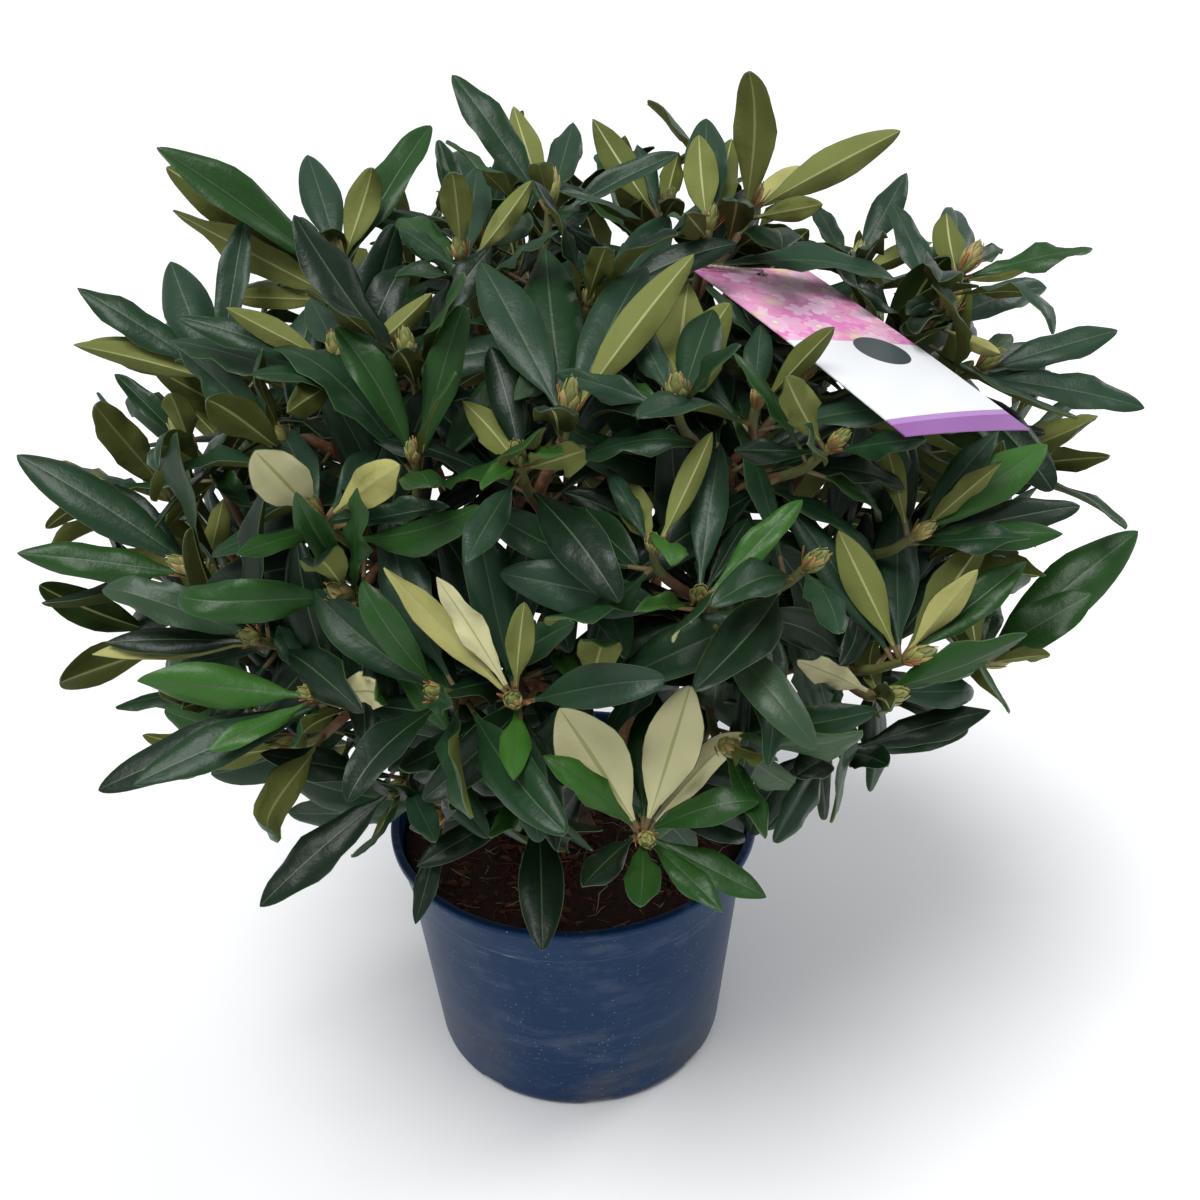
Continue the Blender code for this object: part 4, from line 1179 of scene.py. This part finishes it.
def stand_leaf(dice, group, line, row):
    """A leaf of the table, nudged to be clear of its neighbours if a little will do it."""
    *numbers, look = row
    back, bearing, rise, length, width = map(int, numbers)
    reach = sum((b - a).length for a, b in zip(line, line[1:]))
    root, axis = along_line(line, max(0.05, 1.0 - back * 0.001 / reach))
    blade = length * 0.001 - STANDING_STALK
    shape = {"width": blade * (width / 100) * 0.88, **drawn_build(dice, STANDING_BUILD)}
    if look[1] == "r":
        shape["keel"] = dice.uniform(0.65, 0.95)
    elif look[1] == "c":
        shape.update(bend=dice.uniform(1.0, 1.4), bend_power=2.6)
    elif look[1] == "w":
        shape.update(wave=dice.uniform(0.0032, 0.0045), twist=dice.choice((-0.4, 0.4)))
    elif look[1] == "t":
        shape["twist"] = dice.choice((-1.1, 1.1))
    blade *= 1.0 + 0.05 * shape["bend"]
    chord = shape["bend"] / (shape["bend_power"] + 1.0)
    face = SHOWN * 0.7 + UP * 0.6 if look[0] == "T" else UP * 0.2 - SHOWN * 0.8
    for lean, lift, sure in NUDGES:
        way = towards(bearing + lean, rise + lift)
        up = way.cross(face).normalized().cross(way)
        start = way * math.cos(chord) + up * math.sin(chord)
        if put_leaf(group, root, start, up, STANDING_STALK, blade, shape, int(look[2]), int(look[3]),
                    sure, True):
            return


# The five leaf pieces, and the masses whose leaves each takes.
GROUPS = {
    "front": ("front", "front_low", "front_high", "front_left_low", "front_left_high"),
    "right": ("right_front", "front_right", "right_front_high", "right", "right_low"),
    "back": ("back", "back_high", "back_right", "back_right_high"),
    "left": ("left", "left_high", "back_left", "back_left_high"),
    "top": ("top", "top_right", "right_high"),
}
group_of = {name: group for group, names in GROUPS.items() for name in names}

# How often each upper and lower colour comes up, in a whorl and among the old leaves below it, and
# the share of a shoot's leaves in its own colours.
TOP_DRAWS = (0, 0, 0, 1, 1, 1, 2, 2, 3, 3, 5)
UNDER_DRAWS = (0, 0, 0, 0, 1, 1, 2, 2, 2, 5)
OLD_TOP_DRAWS = (0, 2, 2)
OLD_UNDER_DRAWS = (0, 2, 5)
OWN_COLOUR = 0.6
WHORL = 7
OLD_LEAVES = 6
OLD_AGE = 1.3
LEAF_TURN = math.radians(137.5)

shoot_names = [row[0] for row in MASSES]
shoot_names += [name for name, row in OUTER_SHOOTS.items() if name != row[0]]
lines_of = {name: line for name, (_, line) in zip(shoot_names, shoots)}
for name, rows in STANDING_LEAVES.items():
    for row in rows:
        stand_leaf(dice, group_of[OUTER_SHOOTS[name][0]], lines_of[name], row)
standing = [len(STANDING_LEAVES.get(name, ())) for name in shoot_names]
standing += [0] * (len(shoots) - len(standing))
sprays = []
for n in range(len(shoots)):
    spray = random.Random(SEED * 1000 + n)
    first = spray.uniform(0.0, 6.28)
    sprays.append((spray, first, spray.choice(TOP_DRAWS), spray.choice(UNDER_DRAWS)))
for place in range(WHORL + OLD_LEAVES):
    for (name, line), (spray, first, own_top, own_under), stood in zip(shoots, sprays, standing):
        in_whorl = place < WHORL
        if in_whorl and place < stood:
            continue
        if in_whorl:
            age = place / (WHORL - 1.0)
            back = 0.001 + 0.0034 * place
            angle = math.radians(22.0 + 46.0 * age ** 0.8 + spray.uniform(-10.0, 10.0))
            blade = 0.056 + 0.030 * min(1.0, age * 1.6) + spray.uniform(-0.008, 0.010)
            lift = 0.05 + 0.25 * age
        else:
            age = OLD_AGE
            back = spray.uniform(0.030, 0.100)
            angle = math.radians(spray.uniform(62.0, 100.0))
            blade = spray.uniform(0.078, 0.100)
            lift = 0.45
        top = own_top if spray.random() < OWN_COLOUR else spray.choice(TOP_DRAWS)
        under = own_under if spray.random() < OWN_COLOUR else spray.choice(UNDER_DRAWS)
        if not in_whorl:
            top, under = spray.choice(OLD_TOP_DRAWS), spray.choice(OLD_UNDER_DRAWS)
        turn = first + place * LEAF_TURN
        grow_leaf(spray, group_of[name], line, back, turn, angle, blade, age, top, under, lift)
for group, names in GROUPS.items():
    piece = leaves[group].piece("leaves_" + group, leaf_finishes)
    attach(piece, "root")
    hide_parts(*["foliage_" + name for name in names])


# ---- Buds --------------------------------------------------------------------------------------
# Each shoot ends in a fat pointed bud for the next year, of overlapping yellow-green scales with a
# few dry orange-brown bracts curling away from its foot.
BUD_LENGTH = 0.0200
BUD_RADIUS = 0.0044
BUD_SCALES = 11
BRACTS = 5
SCALE_ROWS = 4
BUD_CORE = (0.0, 0.15, 0.35, 0.55, 0.75, 0.9, 1.0)
SCALE_SECTION = ((-1, 0.00012), (0, 0.00035), (1, 0.00012), (1, -0.0001), (0, -0.0001), (-1, -0.0001))
SCALE_TURN = 2.4
BUD_SIDES = 8


def scale_points(tip, axis, across, other, length, radius, start, span, turn, wide, flare):
    """A pointed scale that hugs a bud, as a thin closed chip."""
    rows = []
    for i in range(SCALE_ROWS):
        t = i / (SCALE_ROWS - 1)
        h = start + span * t
        r = radius * max(0.06, math.sin(math.pi * min(0.14 + 0.86 * h, 1.0)) ** 0.8) + flare * t * t
        half = wide * (1.0 - t ** 2.2) * (0.75 + 0.5 * t) + 0.05
        row = []
        for u, skin in SCALE_SECTION:
            a = turn + u * half
            out = across * math.cos(a) + other * math.sin(a)
            row.append(tip + axis * (h * length) + out * (r + skin))
        rows.append(row)
    return np.array(rows)


bud_finishes = [
    leaf_skin("bud_scale_green", (0.270, 0.270, 0.075), 0.5),
    leaf_skin("bud_scale_olive", (0.190, 0.205, 0.058), 0.5),
    leaf_skin("bud_scale_tan", (0.380, 0.280, 0.100), 0.6),
    leaf_skin("bud_bract", (0.300, 0.130, 0.045), 0.8),
]
buds = Heap()
for n, (name, line) in enumerate(shoots):
    spray = random.Random(SEED * 77 + n)
    size = spray.uniform(0.75, 1.2)
    length, radius = BUD_LENGTH * size, BUD_RADIUS * size
    axis = np.array((line[-1] - line[-2]).normalized())
    across = unit(np.cross(axis, (0.3, 0.9, 0.2)))
    at_bud = np.array(line[-1]) - axis * 0.001, axis, across, np.cross(axis, across)
    core = [at_bud[0] + axis * BUD_LENGTH * size * (t * 0.94 - 0.04) for t in BUD_CORE]
    wide = [radius * max(0.05, math.sin(math.pi * (0.14 + 0.85 * t)) ** 0.8) * 0.96 for t in BUD_CORE]
    buds.add(round_limb(core, wide, BUD_SIDES), 1)
    for j in range(BUD_SCALES):
        share = j / BUD_SCALES
        kind = spray.choice((0, 0, 1, 2))
        chip = scale_points(*at_bud, length, radius * (1.0 - 0.25 * share), 0.42 * share, 0.56,
                            j * SCALE_TURN, 0.95 - 0.35 * share, 0.0004)
        buds.add(chip, kind)
    for j in range(BRACTS):
        chip = scale_points(*at_bud, length * spray.uniform(0.8, 1.1), radius, -0.12,
                            spray.uniform(0.55, 0.85), spray.uniform(0.0, 6.28), 0.16,
                            spray.uniform(0.001, 0.004))
        buds.add(chip, 3)
buds = buds.piece("buds", bud_finishes)
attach(buds, "root")
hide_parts(*foliage_nodes)


# ---- The label ---------------------------------------------------------------------------------
# A printed plastic card, hung by a hole near its upper end: a blossom pattern in pinks over the
# upper half, bare white with a plain dark disc below it, and a purple band at the lower end.
LABEL_WIDTH = 0.078
LABEL_LENGTH = 0.180
LABEL_THICKNESS = 0.0006
LABEL_CORNER = Vector((0.0724, -0.0050, 0.5167))
LABEL_ACROSS = Vector((0.858, 0.471, -0.205)).normalized()
LABEL_DOWN = Vector((0.462, -0.877, -0.148))
LABEL_DOWN = (LABEL_DOWN - LABEL_ACROSS * LABEL_DOWN.dot(LABEL_ACROSS)).normalized()
LABEL_UP = LABEL_DOWN.cross(LABEL_ACROSS)
LABEL_HOLE_RADIUS = 0.003
LABEL_HOLE_INSET = 0.009
LABEL_HOLE = LABEL_CORNER + LABEL_ACROSS * LABEL_WIDTH * 0.5 + LABEL_DOWN * LABEL_HOLE_INSET
LABEL_BOW = 0.0012
LABEL_CUP = 0.0010
LABEL_CELLS = (12, 26)
PINK = (0.82, 0.29, 0.53)
PINK_PALE = (0.90, 0.62, 0.78)
PURPLE = (0.27, 0.10, 0.33)
PURPLE_PALE = (0.42, 0.22, 0.52)
PINK_DEEP = (0.72, 0.22, 0.50)
LEMON = (0.82, 0.80, 0.42)
CARD_WHITE = (0.80, 0.81, 0.83)
SLATE = (0.045, 0.062, 0.062)
PICTURE_END = 0.0865
BAND_PALE_END = 0.1655
BAND_END = 0.1700
DISC_AT = (0.049, 0.1010)
DISC_RADIUS = 0.0150
PRINT_EDGE = 0.0002


def label_finish():
    """The card's print: each cell of the pattern holds a five-petalled blossom with a pale heart."""
    f = Finish("label_print", Roughness=0.32, Specular_IOR_Level=0.5)
    spot = f.node("UVMap", {}, uv_map="card").outputs[0]
    across, down = f.node("SeparateXYZ", {0: spot}).outputs[:2]
    cells = f.node("TexVoronoi", {"Vector": spot, "Scale": 84.0, "Randomness": 0.75}).outputs
    local = f.node("VectorMath", {0: spot, 1: cells["Position"]}, operation="SUBTRACT").outputs[0]
    x, y = f.node("SeparateXYZ", {0: local}).outputs[:2]
    lobes = f.sum("ABSOLUTE", f.sum("COSINE", f.sum("MULTIPLY_ADD", f.sum("ARCTAN2", y, x), 2.5)))
    away = f.node("VectorMath", {0: local}, operation="LENGTH").outputs["Value"]
    bloom = f.between(f.less(f.plus(f.times(lobes, 0.0032), 0.0058), away), 0.0, 0.0005)
    tone = f.node("SeparateColor", {0: cells["Color"]}).outputs[0]
    petals = f.mixed(tone, PINK, PINK_PALE)
    petals = f.mixed(f.times(f.between(away, 0.0085, 0.0), 0.30), petals, PURPLE)
    petals = f.mixed(f.between(away, 0.0022, 0.0008), petals, LEMON)
    ground = f.mixed(f.cloud(26.0, 0.48, 0.66, where=spot), PINK_DEEP, LEMON)
    picture = f.mixed(bloom, ground, petals)

    def past(edge, slant):
        """1 below a slanting line across the card and 0 above it."""
        return f.between(f.plus(down, f.times(across, slant)), edge, edge + PRINT_EDGE)

    colour = f.mixed(past(PICTURE_END, -0.10), picture, CARD_WHITE)
    off = f.less(across, DISC_AT[0]), f.less(down, DISC_AT[1])
    far = f.sum("SQRT", f.plus(f.times(off[0], off[0]), f.times(off[1], off[1])))
    colour = f.mixed(f.between(far, DISC_RADIUS, DISC_RADIUS - PRINT_EDGE), colour, SLATE)
    colour = f.mixed(past(BAND_PALE_END, 0.06), colour, PURPLE_PALE)
    f.colour(f.mixed(past(BAND_END, 0.06), colour, PURPLE))
    f.relief(f.noise(700.0, where=spot), 0.0002, 0.3)
    return f.made


def label_card():
    """The card as a closed thin plate, slightly bowed along its length, with its hole."""
    wide, long = LABEL_CELLS
    verts = []
    spots = []
    for skin in (0.0, -LABEL_THICKNESS):
        for j in range(long + 1):
            for i in range(wide + 1):
                u, v = i / wide, j / long
                bow = LABEL_BOW * math.sin(math.pi * v) - LABEL_CUP * (2.0 * u - 1.0) ** 2
                point = LABEL_CORNER + LABEL_ACROSS * LABEL_WIDTH * u + LABEL_DOWN * LABEL_LENGTH * v
                verts.append(point + LABEL_UP * (bow + skin))
                spots.append((u * LABEL_WIDTH, v * LABEL_LENGTH))
    faces = []
    row = wide + 1
    half = row * (long + 1)
    for j in range(long):
        for i in range(wide):
            a = j * row + i
            faces.append([a, a + 1, a + row + 1, a + row])
            faces.append([half + a, half + a + row, half + a + row + 1, half + a + 1])
    rim = list(range(row)) + [row * j + wide for j in range(1, long + 1)]
    rim += [row * long + i for i in range(wide - 1, -1, -1)]
    rim += [row * j for j in range(long - 1, 0, -1)]
    for a, b in zip(rim, rim[1:] + rim[:1]):
        faces.append([a, half + a, half + b, b])
    card = shaped("plant_label", verts, faces, [label_finish()], 50.0)
    layer = card.data.uv_layers.new(name="card")
    for loop in card.data.loops:
        layer.data[loop.index].uv = spots[loop.vertex_index]
    ends = [LABEL_HOLE - LABEL_UP * 0.01, LABEL_HOLE + LABEL_UP * 0.01]
    ring = round_limb(ends, [LABEL_HOLE_RADIUS] * 2, 24)
    plug = shaped("plug", [Vector(p) for p in ring.reshape(-1, 3)], sleeve(2, 24).tolist(), [])
    cut_away(card, plug)
    return card


card = label_card()
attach(card, "root")
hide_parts("label")


# ---- The tie -----------------------------------------------------------------------------------
# A thin pale twisted cord, knotted in a loop through the label's hole and round the shoot that
# carries it.
TIE_RADIUS = 0.0008
TIE_TURN = 0.0062
TIE_LIFT = 0.0024
TIE_CORNERS = 9
TIE_STEP = 0.0006
TIE_SIDES = 8
TIE_TWIST = 0.55

stem = stems["top_right"]
low = max(i for i, p in enumerate(stem) if (p - LABEL_HOLE).dot(LABEL_UP) < 0.0)
share = (LABEL_HOLE - stem[low]).dot(LABEL_UP) / (stem[low + 1] - stem[low]).dot(LABEL_UP)
shoot_here = stem[low].lerp(stem[low + 1], share)
back = (shoot_here - LABEL_HOLE).normalized()
side = LABEL_UP.cross(back)
corners = [LABEL_HOLE - LABEL_UP * TIE_LIFT, LABEL_HOLE + LABEL_UP * TIE_LIFT]
for i in range(TIE_CORNERS):
    turn = math.pi * i / (TIE_CORNERS - 1)
    out = side * math.cos(turn) + back * math.sin(turn)
    corners.append(shoot_here + out * TIE_TURN + LABEL_UP * TIE_LIFT * math.cos(turn))
loop = smoothed(corners + corners[:1], TIE_STEP)
strands = Heap()
for strand in range(2):
    rows = round_limb(loop, [TIE_RADIUS * 0.62] * len(loop), TIE_SIDES)
    for i, centre in enumerate(loop):
        a = i * TIE_TWIST + strand * math.pi
        across = rows[i, 0] - centre
        other = rows[i, TIE_SIDES // 4] - centre
        rows[i] += (across * math.cos(a) + other * math.sin(a)) * 0.75
    strands.add(rows, 0)
cord = Finish("tie_cord", Base_Color=(0.60, 0.56, 0.44), Roughness=0.8)
cord.relief(cord.noise(1800.0), 0.0003)
tie = strands.piece("label_cord_loop", [cord.made])
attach(tie, "root")
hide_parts("label_tie")


# ---- Studio ------------------------------------------------------------------------------------
# A plain pale floor under soft daylight-white light from all round, with a soft sun from above the
# front, one broad lamp behind on the right, and the camera looking down on the plant.
FLOOR_REACH = 14.0
FLOOR_CORNERS = [(x * FLOOR_REACH, y * FLOOR_REACH, 0)
                 for x, y in ((-1, -1), (1, -1), (1, 1), (-1, 1))]
pale = Finish("pale_floor", Roughness=0.7)
pale.colour(pale.mixed(pale.cloud(3.0, 0.3, 0.7), (0.85, 0.85, 0.85), (0.88, 0.88, 0.88)))
floor_mesh = bpy.data.meshes.new("floor")
floor_mesh.from_pydata(FLOOR_CORNERS, [], [(0, 1, 2, 3)])
floor = linked("floor", floor_mesh, [pale.made])

world = bpy.data.worlds.new("soft_daylight")
bpy.context.scene.world = world
world.use_nodes = True
sky = world.node_tree.nodes["Background"].inputs
sky["Color"].default_value = (0.93, 0.96, 1.0, 1.0)
sky["Strength"].default_value = 0.50



def lamp(name, kind, way, power):
    """A lamp that shines along a given way."""
    light = bpy.data.lights.new(name, kind)
    light.energy = power
    thing = linked(name, light)
    thing.rotation_euler = way.to_track_quat("-Z", "Y").to_euler()
    return thing


SIDE_LAMP_PLACE = Vector((1.8, 0.9, 1.6))
SIDE_LAMP_AIM = Vector((0.0, 0.0, 0.35))
lamp("daylight", "SUN", Vector((0.26, 0.34, -1.0)), 2.7).data.angle = 0.6
side_lamp = lamp("side_lamp", "AREA", SIDE_LAMP_AIM - SIDE_LAMP_PLACE, 14.0)
side_lamp.location = SIDE_LAMP_PLACE
side_lamp.data.shape = "DISK"
side_lamp.data.size = 1.0

CAMERA_PLACE = Vector((0.0, -0.8049, 0.7863))
CAMERA_RIGHT = Vector((0.99901, -0.03825, -0.02254))
CAMERA_UP = Vector((0.03874, 0.50319, 0.86331))
CAMERA_LOOK = Vector((0.02168, 0.86333, -0.50418))
lens = bpy.data.cameras.new("camera")
lens.lens = 48.0
lens.sensor_width = 36.0
lens.clip_start = 0.01
camera = linked("camera", lens)
turn = Matrix((CAMERA_RIGHT, CAMERA_UP, -CAMERA_LOOK)).transposed().to_4x4()
camera.matrix_world = Matrix.Translation(CAMERA_PLACE) @ turn
bpy.context.scene.camera = camera
bpy.context.scene.view_settings.view_transform = "Standard"
